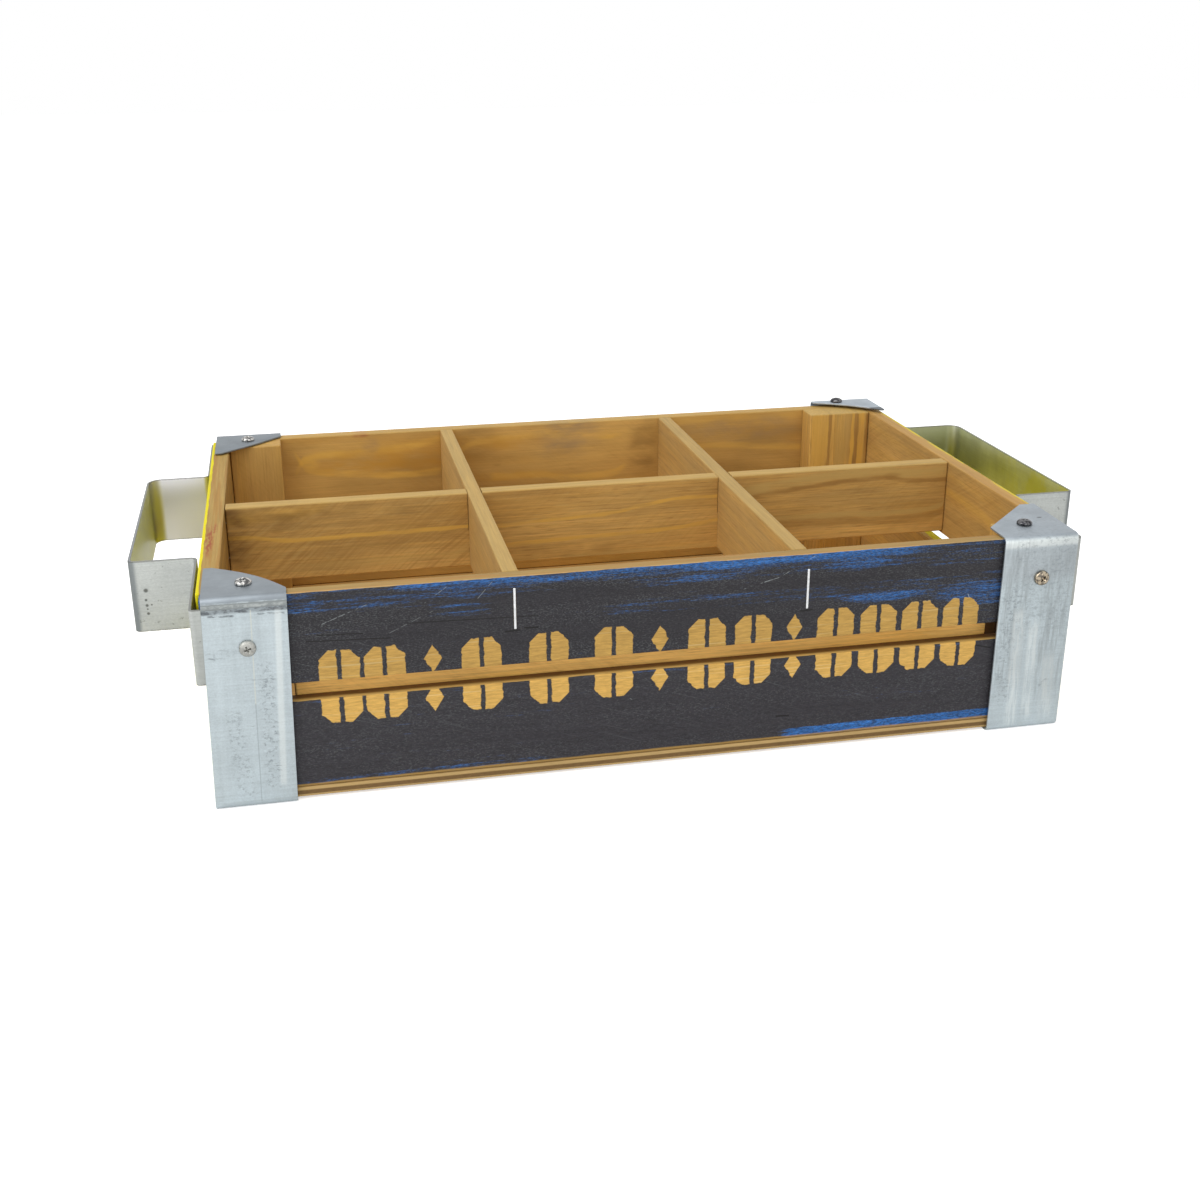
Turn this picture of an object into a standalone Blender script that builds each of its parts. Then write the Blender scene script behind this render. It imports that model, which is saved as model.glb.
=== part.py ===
"""Bar caddy: a slatted wooden crate with six open compartments, corner brackets and strap handles.

Metres, +Z up, +X towards the right end and +Y towards the back. The origin is on the surface that
the crate stands on, under the middle of its bottom.
"""

import math

import bmesh
import bpy
from mathutils import Matrix, Vector

# Crate
CRATE_LENGTH = 0.420
CRATE_DEPTH = 0.2786
SLAT_WIDTH = 0.0435
SLAT_THICKNESS = 0.0080
SLAT_SPACING = 0.0089
PANEL_THICKNESS = 0.0050
WOOD_EASE = 0.0007
SEAT = 0.0003
OVERRUN = 0.0020

# How far the left upper slat stands out beyond the end of the crate
LEFT_UPPER_SLAT_PROUD = 0.0017

# Corner posts, in the four inner corners
POST_THICKNESS = 0.0160
FRONT_LEFT_POST_WIDTH = 0.0180
FRONT_RIGHT_POST_WIDTH = 0.0270
BACK_LEFT_POST_WIDTH = 0.0297
BACK_RIGHT_POST_WIDTH = 0.0397

# Dividers, and the ledgers that carry them
DIVIDER_HEIGHT = 0.0415
LONG_DIVIDER_THICKNESS = 0.0090
CROSS_DIVIDER_THICKNESS = 0.0076
LONG_DIVIDER_SHARE = 0.495
LEFT_CROSS_DIVIDER_SHARE = 0.331
RIGHT_CROSS_DIVIDER_SHARE = 0.664
LEDGER_HEIGHT = 0.0200
LEDGER_THICKNESS = 0.0080
LEDGER_POST_GAP = 0.0022
FRONT_LEDGER_LEFT_GAP = 0.0116
FRONT_LEDGER_RIGHT_GAP = 0.0053

# Corner brackets, of galvanised sheet. Each was trimmed by hand, so each has its own sizes: its width,
# how far it is set in from the end of the crate, how far its foot leans out, how high its flap stands off
# the rim at the fold and at its tip, then the outline of the flap and the place of the screw in it.
SHEET_THICKNESS = 0.0010
SHEET_BEND_RADIUS = 0.0024
FOOT_DEPTH = 0.0150
BRACKETS = {
    "front_left": {
        "width": 0.0371,
        "inset": 0.0008,
        "lean": 0.0026,
        "rise": 0.0,
        "lift": 0.0,
        "depth": 0.0413,
        "nose": 0.0040,
        "shoulder": 0.0084,
        "bulge": 0.0034,
        "screw_in": 0.0192,
        "screw_back": 0.0140,
    },
    "front_right": {
        "width": 0.0385,
        "inset": 0.0013,
        "lean": -0.0004,
        "rise": 0.0,
        "lift": 0.0008,
        "depth": 0.0473,
        "nose": 0.0080,
        "shoulder": 0.0175,
        "bulge": 0.0,
        "screw_in": 0.0213,
        "screw_back": 0.0155,
    },
    "back_left": {
        "width": 0.0380,
        "inset": 0.0003,
        "lean": 0.0,
        "rise": 0.0,
        "lift": 0.0004,
        "depth": 0.0425,
        "nose": 0.0040,
        "shoulder": 0.0095,
        "bulge": 0.0010,
        "screw_in": 0.0190,
        "screw_back": 0.0140,
    },
    "back_right": {
        "width": 0.0385,
        "inset": 0.0003,
        "lean": 0.0,
        "rise": 0.0015,
        "lift": 0.0,
        "depth": 0.0325,
        "nose": 0.0020,
        "shoulder": 0.0060,
        "bulge": -0.0030,
        "screw_in": 0.0235,
        "screw_back": 0.0042,
    },
}

# Strap handles, of galvanised strap: how far each sits below the rim, how far it stands off the upper slat
# before and behind the grip, how far it reaches out, how long its grip is and how far the grip lies behind
# the middle of the crate
STRAP_WIDTH = 0.0360
STRAP_THICKNESS = 0.0012
STRAP_NEAR_BEND_RADIUS = 0.0025
STRAP_FAR_BEND_RADIUS = 0.0070
STRAP_ROOT_BEND_RADIUS = 0.0030
STRAP_CORNER_RADIUS = 0.0016
STRAP_FOOT_LENGTH = 0.0320
HANDLES = {
    "left": {
        "drop": 0.0039,
        "front_standoff": 0.0017,
        "back_standoff": 0.0004,
        "reach": 0.0360,
        "grip": 0.1408,
        "shift": 0.0006,
    },
    "right": {
        "drop": 0.0012,
        "front_standoff": 0.0004,
        "back_standoff": 0.0004,
        "reach": 0.0350,
        "grip": 0.1470,
        "shift": 0.0037,
    },
}

# Pan-head screws
SCREW_HEAD_RADIUS = 0.0038
SCREW_HEAD_HEIGHT = 0.0022
SCREW_HEAD_RIM = 0.0005
SCREW_SHANK_RADIUS = 0.0016
SCREW_TIP_LENGTH = 0.0030
SCREW_CLEARANCE = 0.0003
PLATE_SCREW_LENGTH = 0.0200
FLAP_SCREW_LENGTH = 0.0150
PLATE_SCREW_INSET = 0.0192
PLATE_SCREW_LOWERING = 0.0011

# Wire staples
STAPLE_CROWN = 0.0190
STAPLE_LEG = 0.0160
STAPLE_WIRE_RADIUS = 0.0006
STAPLE_PROUD = 0.0002
STAPLE_CORNER = 0.0010
STAPLE_CLEARANCE = 0.0003
DIVIDER_STAPLES = {
    "front_left": {"offset": 0.0005, "drop": 0.0156},
    "front_right": {"offset": 0.0021, "drop": 0.0175},
    "back_left": {"offset": 0.0, "drop": 0.0160},
    "back_right": {"offset": 0.0, "drop": 0.0160},
}
END_STAPLE_DROP = 0.0190
POST_STAPLE_INSET = 0.0170
PANEL_STAPLE_INSET_SHARE = 0.5

ARC_STEPS = 4
ROUND_STEPS = 16

# Levels, from the ground up
PANEL_BOTTOM = SHEET_THICKNESS + SEAT
PANEL_TOP = PANEL_BOTTOM + PANEL_THICKNESS
LOWER_SLAT_BOTTOM = PANEL_TOP + SEAT
LOWER_SLAT_TOP = LOWER_SLAT_BOTTOM + SLAT_WIDTH
UPPER_SLAT_BOTTOM = LOWER_SLAT_TOP + SLAT_SPACING
RIM = UPPER_SLAT_BOTTOM + SLAT_WIDTH
DIVIDER_BOTTOM = RIM - DIVIDER_HEIGHT
FLAP_TOP = RIM + SEAT + SHEET_THICKNESS

# Faces, from the middle of the crate outwards
END_FACE = CRATE_LENGTH / 2
INNER_END_FACE = END_FACE - SLAT_THICKNESS
SIDE_FACE = CRATE_DEPTH / 2
INNER_SIDE_FACE = SIDE_FACE - SLAT_THICKNESS
STRAP_FOOT_MIDDLE = SIDE_FACE + SEAT + STRAP_THICKNESS / 2
PLATE_INNER_FACE = SIDE_FACE + 2 * SEAT + STRAP_THICKNESS
PLATE_FACE = PLATE_INNER_FACE + SHEET_THICKNESS

LONG_DIVIDER_Y = CRATE_DEPTH * LONG_DIVIDER_SHARE - SIDE_FACE
CROSS_DIVIDER_X = {
    "left": CRATE_LENGTH * LEFT_CROSS_DIVIDER_SHARE - END_FACE,
    "right": CRATE_LENGTH * RIGHT_CROSS_DIVIDER_SHARE - END_FACE,
}

SIDES = {"front": -1, "back": 1}
ENDS = {"left": -1, "right": 1}
CORNERS = [(side, end) for side in SIDES for end in ENDS]
SLAT_LEVELS = {"lower": LOWER_SLAT_BOTTOM, "upper": UPPER_SLAT_BOTTOM}
POST_WIDTHS = {
    ("front", "left"): FRONT_LEFT_POST_WIDTH,
    ("front", "right"): FRONT_RIGHT_POST_WIDTH,
    ("back", "left"): BACK_LEFT_POST_WIDTH,
    ("back", "right"): BACK_RIGHT_POST_WIDTH,
}


def clear_scene():
    for obj in list(bpy.data.objects):
        bpy.data.objects.remove(obj, do_unlink=True)


def new_collection(name):
    collection = bpy.data.collections.new(name)
    bpy.context.scene.collection.children.link(collection)
    return collection


def finish(name, colour, roughness, metallic=0.0):
    """A material for one finish, made once."""
    material = bpy.data.materials.get(name)
    if material is None:
        material = bpy.data.materials.new(name)
        material.use_nodes = True
        shader = material.node_tree.nodes["Principled BSDF"]
        shader.inputs["Base Color"].default_value = (*colour, 1.0)
        shader.inputs["Roughness"].default_value = roughness
        shader.inputs["Metallic"].default_value = metallic
    return material


def honey_wood():
    return finish("honey_wood", (0.38, 0.21, 0.065), 0.6)


def plywood():
    return finish("plywood", (0.40, 0.24, 0.11), 0.7)


def charcoal_paint():
    return finish("charcoal_paint", (0.055, 0.055, 0.065), 0.7)


def yellow_paint():
    return finish("yellow_paint", (0.74, 0.66, 0.02), 0.5)


def galvanised():
    return finish("galvanised", (0.55, 0.60, 0.62), 0.45, 0.85)


def strap_steel():
    return finish("strap_steel", (0.52, 0.52, 0.49), 0.5, 0.85)


def bright_zinc():
    return finish("bright_zinc", (0.75, 0.74, 0.70), 0.2, 1.0)


def staple_wire():
    return finish("staple_wire", (0.72, 0.72, 0.72), 0.35, 1.0)


def add_object(name, data, materials, collection="Bar caddy"):
    obj = bpy.data.objects.new(name, data)
    for material in materials:
        if material.name not in data.materials:
            data.materials.append(material)
    bpy.data.collections[collection].objects.link(obj)
    return obj


def as_helper(obj):
    """Keeps a cutter out of the part and draws it as wire."""
    obj.hide_render = True
    obj.display_type = "WIRE"
    return obj


def smooth_rounds(obj):
    obj.data.shade_smooth()
    obj.data.set_sharp_from_angle(angle=math.radians(35))


def cut(obj, cutters):
    for cutter in cutters:
        boolean = obj.modifiers.new(cutter.name, "BOOLEAN")
        boolean.operation = "DIFFERENCE"
        boolean.solver = "EXACT"
        boolean.object = cutter


def block(name, low, high, materials, collection="Bar caddy"):
    """A rectangular block between two corners, placed by its middle."""
    low, high = Vector(low), Vector(high)
    mesh = bpy.data.meshes.new(name)
    form = bmesh.new()
    bmesh.ops.create_cube(form, size=1.0)
    bmesh.ops.scale(form, vec=high - low, verts=form.verts)
    form.to_mesh(mesh)
    form.free()
    obj = add_object(name, mesh, materials, collection)
    obj.location = (low + high) / 2
    return obj


def board(name, low, high, wood, paint=None, painted=()):
    """A sawn board with eased edges, its painted faces named by their outward directions."""
    obj = block(name, low, high, [wood] if paint is None else [wood, paint])
    for face in obj.data.polygons:
        if any(face.normal.dot(Vector(direction)) > 0.5 for direction in painted):
            face.material_index = 1
    ease = obj.modifiers.new("Eased edges", "BEVEL")
    ease.width = WOOD_EASE
    ease.segments = 2
    ease.limit_method = "NONE"
    return obj


def rounded_path(corners, radii):
    """The points of an open path in a plane, with an arc of its own radius at each inner corner."""
    corners = [Vector(corner) for corner in corners]
    points = [corners[0]]
    for before, corner, after, radius in zip(corners, corners[1:], corners[2:], radii):
        back = (before - corner).normalized()
        ahead = (after - corner).normalized()
        half_angle = back.angle(ahead) / 2
        centre = corner + (back + ahead).normalized() * (radius / math.sin(half_angle))
        start = corner + back * (radius / math.tan(half_angle)) - centre
        turn = Vector((start.x, start.y)).angle_signed(
            Vector(corner + ahead * (radius / math.tan(half_angle)) - centre)
        )
        for step in range(ARC_STEPS + 1):
            arc = Matrix.Rotation(-turn * step / ARC_STEPS, 2)
            points.append(centre + arc @ start)
    points.append(corners[-1])
    return points


def folded_sheet(name, path, width_ends, lift, thickness, material):
    """Sheet metal whose middle follows a path, drawn out between two places across the path.

    lift turns a path point and a place across it into a place on the object.
    """
    mesh = bpy.data.meshes.new(name)
    form = bmesh.new()
    rows = [[form.verts.new(lift(point, across)) for point in path] for across in width_ends]
    for start in range(len(path) - 1):
        form.faces.new((rows[0][start], rows[0][start + 1], rows[1][start + 1], rows[1][start]))
    form.to_mesh(mesh)
    form.free()
    obj = add_object(name, mesh, [material])
    sheet = obj.modifiers.new("Sheet", "SOLIDIFY")
    sheet.thickness = thickness
    sheet.offset = 0.0
    sheet.use_even_offset = True
    smooth_rounds(obj)
    return obj


def outline_cutter(name, outline, low, high):
    """An upright prism on a flat outline, between two levels."""
    curve = bpy.data.curves.new(name, "CURVE")
    curve.dimensions = "2D"
    curve.fill_mode = "BOTH"
    curve.extrude = (high - low) / 2
    line = curve.splines.new("POLY")
    line.points.add(len(outline) - 1)
    for point, (x, y) in zip(line.points, outline):
        point.co = (x, y, 0.0, 1.0)
    line.use_cyclic_u = True
    drawn = add_object(name + "_outline", curve, [], "Cutters")
    drawn.location = (0.0, 0.0, (low + high) / 2)
    return as_helper(mesh_of_curve(name, drawn, "Cutters"))


def mesh_of_curve(name, drawn, collection):
    """Turns a curve object into a closed mesh object in the same place."""
    bpy.context.view_layer.update()
    evaluated = drawn.evaluated_get(bpy.context.evaluated_depsgraph_get())
    mesh = bpy.data.meshes.new_from_object(evaluated)
    form = bmesh.new()
    form.from_mesh(mesh)
    bmesh.ops.remove_doubles(form, verts=form.verts, dist=SEAT / 100)
    bmesh.ops.recalc_face_normals(form, faces=form.faces)
    form.to_mesh(mesh)
    form.free()
    obj = add_object(name, mesh, [], collection)
    obj.matrix_world = drawn.matrix_world
    bpy.data.objects.remove(drawn, do_unlink=True)
    return obj


def drill(name, place, outward, radius, depth):
    """A round cutter that goes in at a place, against the outward direction."""
    mesh = bpy.data.meshes.new(name)
    form = bmesh.new()
    length = depth + OVERRUN
    bmesh.ops.create_cone(
        form, cap_ends=True, segments=ROUND_STEPS, radius1=radius, radius2=radius, depth=length
    )
    bmesh.ops.translate(form, vec=(0.0, 0.0, OVERRUN - length / 2), verts=form.verts)
    form.to_mesh(mesh)
    form.free()
    obj = add_object(name, mesh, [], "Cutters")
    aim(obj, place, outward)
    return as_helper(obj)


def aim(obj, place, outward, across=None):
    """Puts an object at a place, its +Z outwards and its +X along the direction across."""
    outward = Vector(outward).normalized()
    across = Vector(across) if across else outward.orthogonal()
    side = outward.cross(across).normalized()
    turned = Matrix((side.cross(outward), side, outward)).transposed()
    obj.location = place
    obj.rotation_euler = turned.to_euler()


def bottom_panel():
    low = (-END_FACE, -SIDE_FACE, PANEL_BOTTOM)
    high = (END_FACE, SIDE_FACE, PANEL_TOP)
    return board("bottom_panel", low, high, plywood())


def side_slat(side, level):
    """A slat of the front or back wall, as long as the crate."""
    sign = SIDES[side]
    outer, inner = sign * SIDE_FACE, sign * INNER_SIDE_FACE
    bottom = SLAT_LEVELS[level]
    low = (-END_FACE, min(outer, inner), bottom)
    high = (END_FACE, max(outer, inner), bottom + SLAT_WIDTH)
    painted = [(0, sign, 0), (1, 0, 0), (-1, 0, 0)]
    return board(f"{side}_{level}_slat", low, high, honey_wood(), charcoal_paint(), painted)


def end_slat_face(end, level):
    """How far the outer face of an end slat lies from the middle of the crate."""
    proud = LEFT_UPPER_SLAT_PROUD if (end, level) == ("left", "upper") else 0.0
    return END_FACE + proud


def end_slat(end, level):
    """A slat of the left or right wall, between the front and back slats."""
    sign = ENDS[end]
    outer, inner = sign * end_slat_face(end, level), sign * INNER_END_FACE
    reach = INNER_SIDE_FACE - SEAT
    bottom = SLAT_LEVELS[level]
    low = (min(outer, inner), -reach, bottom)
    high = (max(outer, inner), reach, bottom + SLAT_WIDTH)
    return board(f"{end}_{level}_slat", low, high, honey_wood(), yellow_paint(), [(sign, 0, 0)])


def corner_post(side, end):
    """An upright in one inner corner, that the slats are fixed to."""
    across, along = ENDS[end], SIDES[side]
    outer_x = across * (INNER_END_FACE - SEAT)
    inner_x = outer_x - across * POST_WIDTHS[side, end]
    outer_y = along * (INNER_SIDE_FACE - SEAT)
    inner_y = outer_y - along * POST_THICKNESS
    low = (min(outer_x, inner_x), min(outer_y, inner_y), PANEL_TOP + SEAT)
    high = (max(outer_x, inner_x), max(outer_y, inner_y), RIM)
    return board(f"{side}_{end}_post", low, high, honey_wood())


def ledger(side):
    """The strip behind the gap between two slats, from post to post under the dividers' ends."""
    sign = SIDES[side]
    left_gap = FRONT_LEDGER_LEFT_GAP if side == "front" else LEDGER_POST_GAP
    left = SEAT + POST_WIDTHS[side, "left"] + left_gap - INNER_END_FACE
    right_gap = FRONT_LEDGER_RIGHT_GAP if side == "front" else LEDGER_POST_GAP
    right = INNER_END_FACE - SEAT - POST_WIDTHS[side, "right"] - right_gap
    outer = sign * (INNER_SIDE_FACE - SEAT)
    inner = outer - sign * LEDGER_THICKNESS
    top = DIVIDER_BOTTOM - SEAT
    low = (left, min(outer, inner), top - LEDGER_HEIGHT)
    high = (right, max(outer, inner), top)
    return board(f"{side}_ledger", low, high, honey_wood())


def long_divider():
    """The divider along the crate, notched from above where the cross dividers pass."""
    reach = INNER_END_FACE - SEAT
    half = LONG_DIVIDER_THICKNESS / 2
    low = (-reach, LONG_DIVIDER_Y - half, DIVIDER_BOTTOM)
    high = (reach, LONG_DIVIDER_Y + half, RIM)
    divider = board("long_divider", low, high, honey_wood())
    cut(divider, [lap_notch(side, above=True) for side in CROSS_DIVIDER_X])
    return divider


def cross_divider(side):
    """A divider from front to back, notched from below to straddle the long divider."""
    reach = INNER_SIDE_FACE - SEAT
    half = CROSS_DIVIDER_THICKNESS / 2
    middle = CROSS_DIVIDER_X[side]
    low = (middle - half, -reach, DIVIDER_BOTTOM)
    high = (middle + half, reach, RIM)
    divider = board(f"{side}_cross_divider", low, high, honey_wood())
    cut(divider, [lap_notch(side, above=False)])
    return divider


def lap_notch(side, above):
    """The cutter for one half of a crossing, on the long divider above or a cross divider below."""
    lap = DIVIDER_BOTTOM + DIVIDER_HEIGHT / 2
    half_x = CROSS_DIVIDER_THICKNESS / 2 + (SEAT if above else OVERRUN)
    half_y = LONG_DIVIDER_THICKNESS / 2 + (OVERRUN if above else SEAT)
    bottom = lap - SEAT / 2 if above else DIVIDER_BOTTOM - OVERRUN
    top = RIM + OVERRUN if above else lap + SEAT / 2
    middle = CROSS_DIVIDER_X[side]
    name = f"{side}_lap_{'above' if above else 'below'}"
    low = (middle - half_x, LONG_DIVIDER_Y - half_y, bottom)
    high = (middle + half_x, LONG_DIVIDER_Y + half_y, top)
    return as_helper(block(name, low, high, [], "Cutters"))


def flap_outline(corner):
    """The part of a bracket's top flap that is cut away, as distances from the corner.

    Each point is the distance from the end of the crate and the distance back from the plate.
    """
    sizes = BRACKETS[corner]
    inner_edge = sizes["inset"] + sizes["width"]
    nose = Vector((sizes["inset"] + sizes["nose"], sizes["depth"]))
    shoulder = Vector((inner_edge, sizes["shoulder"]))
    chord = shoulder - nose
    swell = Vector((-chord.y, chord.x)).normalized() * sizes["bulge"]
    edge = []
    for step in range(2 * ARC_STEPS + 1):
        along = step / (2 * ARC_STEPS)
        edge.append(nose + chord * along + swell * math.sin(math.pi * along))
    far = sizes["depth"] + 2 * OVERRUN
    beside = inner_edge + OVERRUN
    outside = [(beside, edge[-1].y), (beside, far), (-OVERRUN, far)]
    return [(-OVERRUN, sizes["depth"])] + [tuple(point) for point in edge] + outside


def flap_level(corner, depth):
    """The level of the top of a flap at a distance back from its plate."""
    sizes = BRACKETS[corner]
    return FLAP_TOP + sizes["rise"] + sizes["lift"] * depth / sizes["depth"]


def corner_bracket(side, end):
    """A strip of sheet over the rim, down the outside of a corner and under the panel."""
    along, across = SIDES[side], ENDS[end]
    corner = f"{side}_{end}"
    sizes = BRACKETS[corner]
    half = SHEET_THICKNESS / 2
    plate, foot = PLATE_FACE - half, half
    reach = sizes["depth"] + OVERRUN
    corners = [
        (PLATE_FACE - reach, flap_level(corner, reach) - half),
        (plate, flap_level(corner, 0.0) - half),
        (plate, foot),
        (PLATE_FACE - FOOT_DEPTH, foot),
    ]
    path = rounded_path(corners, [SHEET_BEND_RADIUS] * 2)
    outer_edge = END_FACE - sizes["inset"]

    def lift(point, place):
        lean = sizes["lean"] * (1 - point.y / RIM)
        return (across * (place + lean), along * point.x, point.y)

    edges = [outer_edge, outer_edge - sizes["width"]]
    bracket = folded_sheet(f"{corner}_bracket", path, edges, lift, SHEET_THICKNESS, galvanised())
    outline = [(across * (END_FACE - x), along * (PLATE_FACE - y)) for x, y in flap_outline(corner)]
    top = flap_level(corner, reach) + OVERRUN
    cut(bracket, [outline_cutter(f"{corner}_flap_cut", outline, RIM - OVERRUN, top)])
    return bracket


def strap_middle(end):
    """The level of the middle of a handle's strap."""
    return RIM - HANDLES[end]["drop"] - STRAP_WIDTH / 2


def handle(end):
    """A strap bent out into a grip, its feet turned round the corners of the crate."""
    sign = ENDS[end]
    sizes = HANDLES[end]
    wall = end_slat_face(end, "upper") + STRAP_THICKNESS / 2
    front_run, back_run = wall + sizes["front_standoff"], wall + sizes["back_standoff"]
    grip = END_FACE + sizes["reach"] - STRAP_THICKNESS / 2
    half = (sizes["grip"] - STRAP_THICKNESS) / 2
    near, far = sizes["shift"] - half, sizes["shift"] + half
    foot = END_FACE - STRAP_FOOT_LENGTH
    bends = {
        (front_run, -STRAP_FOOT_MIDDLE): STRAP_CORNER_RADIUS,
        (front_run, near): STRAP_ROOT_BEND_RADIUS,
        (grip, near): STRAP_NEAR_BEND_RADIUS,
        (grip, far): STRAP_FAR_BEND_RADIUS,
        (back_run, far): STRAP_ROOT_BEND_RADIUS,
        (back_run, STRAP_FOOT_MIDDLE): STRAP_CORNER_RADIUS,
    }
    corners = [(foot, -STRAP_FOOT_MIDDLE), *bends, (foot, STRAP_FOOT_MIDDLE)]
    path = rounded_path(corners, bends.values())
    middle = strap_middle(end)
    edges = [middle - STRAP_WIDTH / 2, middle + STRAP_WIDTH / 2]

    def lift(point, level):
        return (sign * point.x, point.y, level)

    return folded_sheet(f"{end}_handle", path, edges, lift, STRAP_THICKNESS, strap_steel())


def screw_mesh(length):
    """The half outline of a pan-head screw, from the top of its head down to its tip."""
    name = f"screw_{round(length / SCREW_SHANK_RADIUS)}"
    mesh = bpy.data.meshes.new(name)
    dome = SCREW_HEAD_HEIGHT - SCREW_HEAD_RIM
    outline = []
    for step in range(ARC_STEPS + 1):
        angle = math.pi / 2 * step / ARC_STEPS
        outline.append((SCREW_HEAD_RADIUS * math.sin(angle), SCREW_HEAD_RIM + dome * math.cos(angle)))
    outline += [
        (SCREW_HEAD_RADIUS, 0.0),
        (SCREW_SHANK_RADIUS, 0.0),
        (SCREW_SHANK_RADIUS, SCREW_TIP_LENGTH - length),
        (0.0, -length),
    ]
    form = bmesh.new()
    points = [form.verts.new((x, 0.0, z)) for x, z in outline]
    for first, second in zip(points, points[1:]):
        form.edges.new((first, second))
    form.to_mesh(mesh)
    form.free()
    return mesh


def screw(name, length, place, outward):
    """A screw whose head seats at a place and whose shank goes in against the outward direction."""
    seat = Vector(place) + Vector(outward) * SEAT
    obj = add_object(name, screw_mesh(length), [bright_zinc()])
    turning = obj.modifiers.new("Turned", "SCREW")
    turning.steps = ROUND_STEPS
    turning.render_steps = ROUND_STEPS
    turning.use_merge_vertices = True
    turning.merge_threshold = SEAT / 100
    aim(obj, seat, outward)
    return obj


def screw_hole(name, length, place, outward):
    radius = SCREW_SHANK_RADIUS + SCREW_CLEARANCE
    return drill(name, place, outward, radius, length + SCREW_CLEARANCE)


def fit_screws(parts):
    """One screw through each bracket's flap into the wood below, and one through its plate and strap."""
    for side, end in CORNERS:
        along, across = SIDES[side], ENDS[end]
        sizes = BRACKETS[f"{side}_{end}"]
        bracket, post = parts[f"{side}_{end}_bracket"], parts[f"{side}_{end}_post"]
        slat = parts[f"{side}_upper_slat"]

        y = SIDE_FACE - sizes["screw_back"]
        level = flap_level(f"{side}_{end}", PLATE_FACE - y)
        place = (across * (END_FACE - sizes["screw_in"]), along * y, level)
        screw(f"{side}_{end}_flap_screw", FLAP_SCREW_LENGTH, place, (0, 0, 1))
        hole = screw_hole(f"{side}_{end}_flap_hole", FLAP_SCREW_LENGTH, place, (0, 0, 1))
        cut(bracket, [hole])
        cut(slat if sizes["screw_back"] < SLAT_THICKNESS else post, [hole])

        x = across * (END_FACE - PLATE_SCREW_INSET)
        place = (x, along * PLATE_FACE, strap_middle(end) - PLATE_SCREW_LOWERING)
        screw(f"{side}_{end}_plate_screw", PLATE_SCREW_LENGTH, place, (0, along, 0))
        hole = screw_hole(f"{side}_{end}_plate_hole", PLATE_SCREW_LENGTH, place, (0, along, 0))
        for part in (bracket, parts[f"{end}_handle"], slat, post):
            cut(part, [hole])


def staple_curve(name, radius, leg):
    """Round wire bent into a crown along X and two legs down -Z from the wood's face at zero."""
    curve = bpy.data.curves.new(name, "CURVE")
    curve.dimensions = "3D"
    curve.bevel_depth = radius
    curve.bevel_resolution = 1
    curve.use_fill_caps = True
    level = STAPLE_PROUD - STAPLE_WIRE_RADIUS
    half = STAPLE_CROWN / 2
    half_wire = [(half, -leg), (half, level - STAPLE_CORNER), (half - STAPLE_CORNER, level)]
    wire = [(-x, z) for x, z in half_wire] + list(reversed(half_wire))
    line = curve.splines.new("POLY")
    line.points.add(len(wire) - 1)
    for point, (x, z) in zip(line.points, wire):
        point.co = (x, 0.0, z, 1.0)
    return curve


def staple(name, place, outward, crown, parts):
    """A staple driven in at a place, with its slot cut in the parts that it holds together."""
    wire = staple_curve(name, STAPLE_WIRE_RADIUS, STAPLE_LEG)
    aim(add_object(name, wire, [staple_wire()]), place, outward, crown)
    slot = staple_curve(
        f"{name}_wire", STAPLE_WIRE_RADIUS + STAPLE_CLEARANCE, STAPLE_LEG + STAPLE_CLEARANCE
    )
    drawn = add_object(f"{name}_wire", slot, [], "Cutters")
    aim(drawn, place, outward, crown)
    cutter = as_helper(mesh_of_curve(f"{name}_slot", drawn, "Cutters"))
    for part in parts:
        cut(part, [cutter])


def fit_divider_staples(parts):
    """One staple into each end of each divider, its crown upright on the upper slat."""
    for side, sign in SIDES.items():
        for end, x in CROSS_DIVIDER_X.items():
            sizes = DIVIDER_STAPLES[f"{side}_{end}"]
            held = [parts[f"{side}_upper_slat"], parts[f"{end}_cross_divider"]]
            place = (x + sizes["offset"], sign * SIDE_FACE, RIM - sizes["drop"])
            staple(f"{side}_{end}_divider_staple", place, (0, sign, 0), (0, 0, 1), held)
    for end, sign in ENDS.items():
        held = [parts[f"{end}_upper_slat"], parts["long_divider"]]
        place = (sign * end_slat_face(end, "upper"), LONG_DIVIDER_Y, RIM - END_STAPLE_DROP)
        staple(f"{end}_divider_staple", place, (sign, 0, 0), (0, 0, 1), held)


def fit_post_staples(parts):
    """One staple through each end slat into each post, and one through each end of a lower side slat."""
    for side, end in CORNERS:
        along, across = SIDES[side], ENDS[end]
        post = parts[f"{side}_{end}_post"]
        y = along * (INNER_SIDE_FACE - POST_THICKNESS / 2)
        for level, bottom in SLAT_LEVELS.items():
            held = [parts[f"{end}_{level}_slat"], post]
            place = (across * end_slat_face(end, level), y, bottom + SLAT_WIDTH / 2)
            staple(f"{side}_{end}_{level}_staple", place, (across, 0, 0), (0, 0, 1), held)
        held = [parts[f"{side}_lower_slat"], post]
        x = across * (INNER_END_FACE - POST_STAPLE_INSET)
        place = (x, along * SIDE_FACE, LOWER_SLAT_BOTTOM + SLAT_WIDTH / 2)
        staple(f"{side}_{end}_foot_staple", place, (0, along, 0), (0, 0, 1), held)


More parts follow.
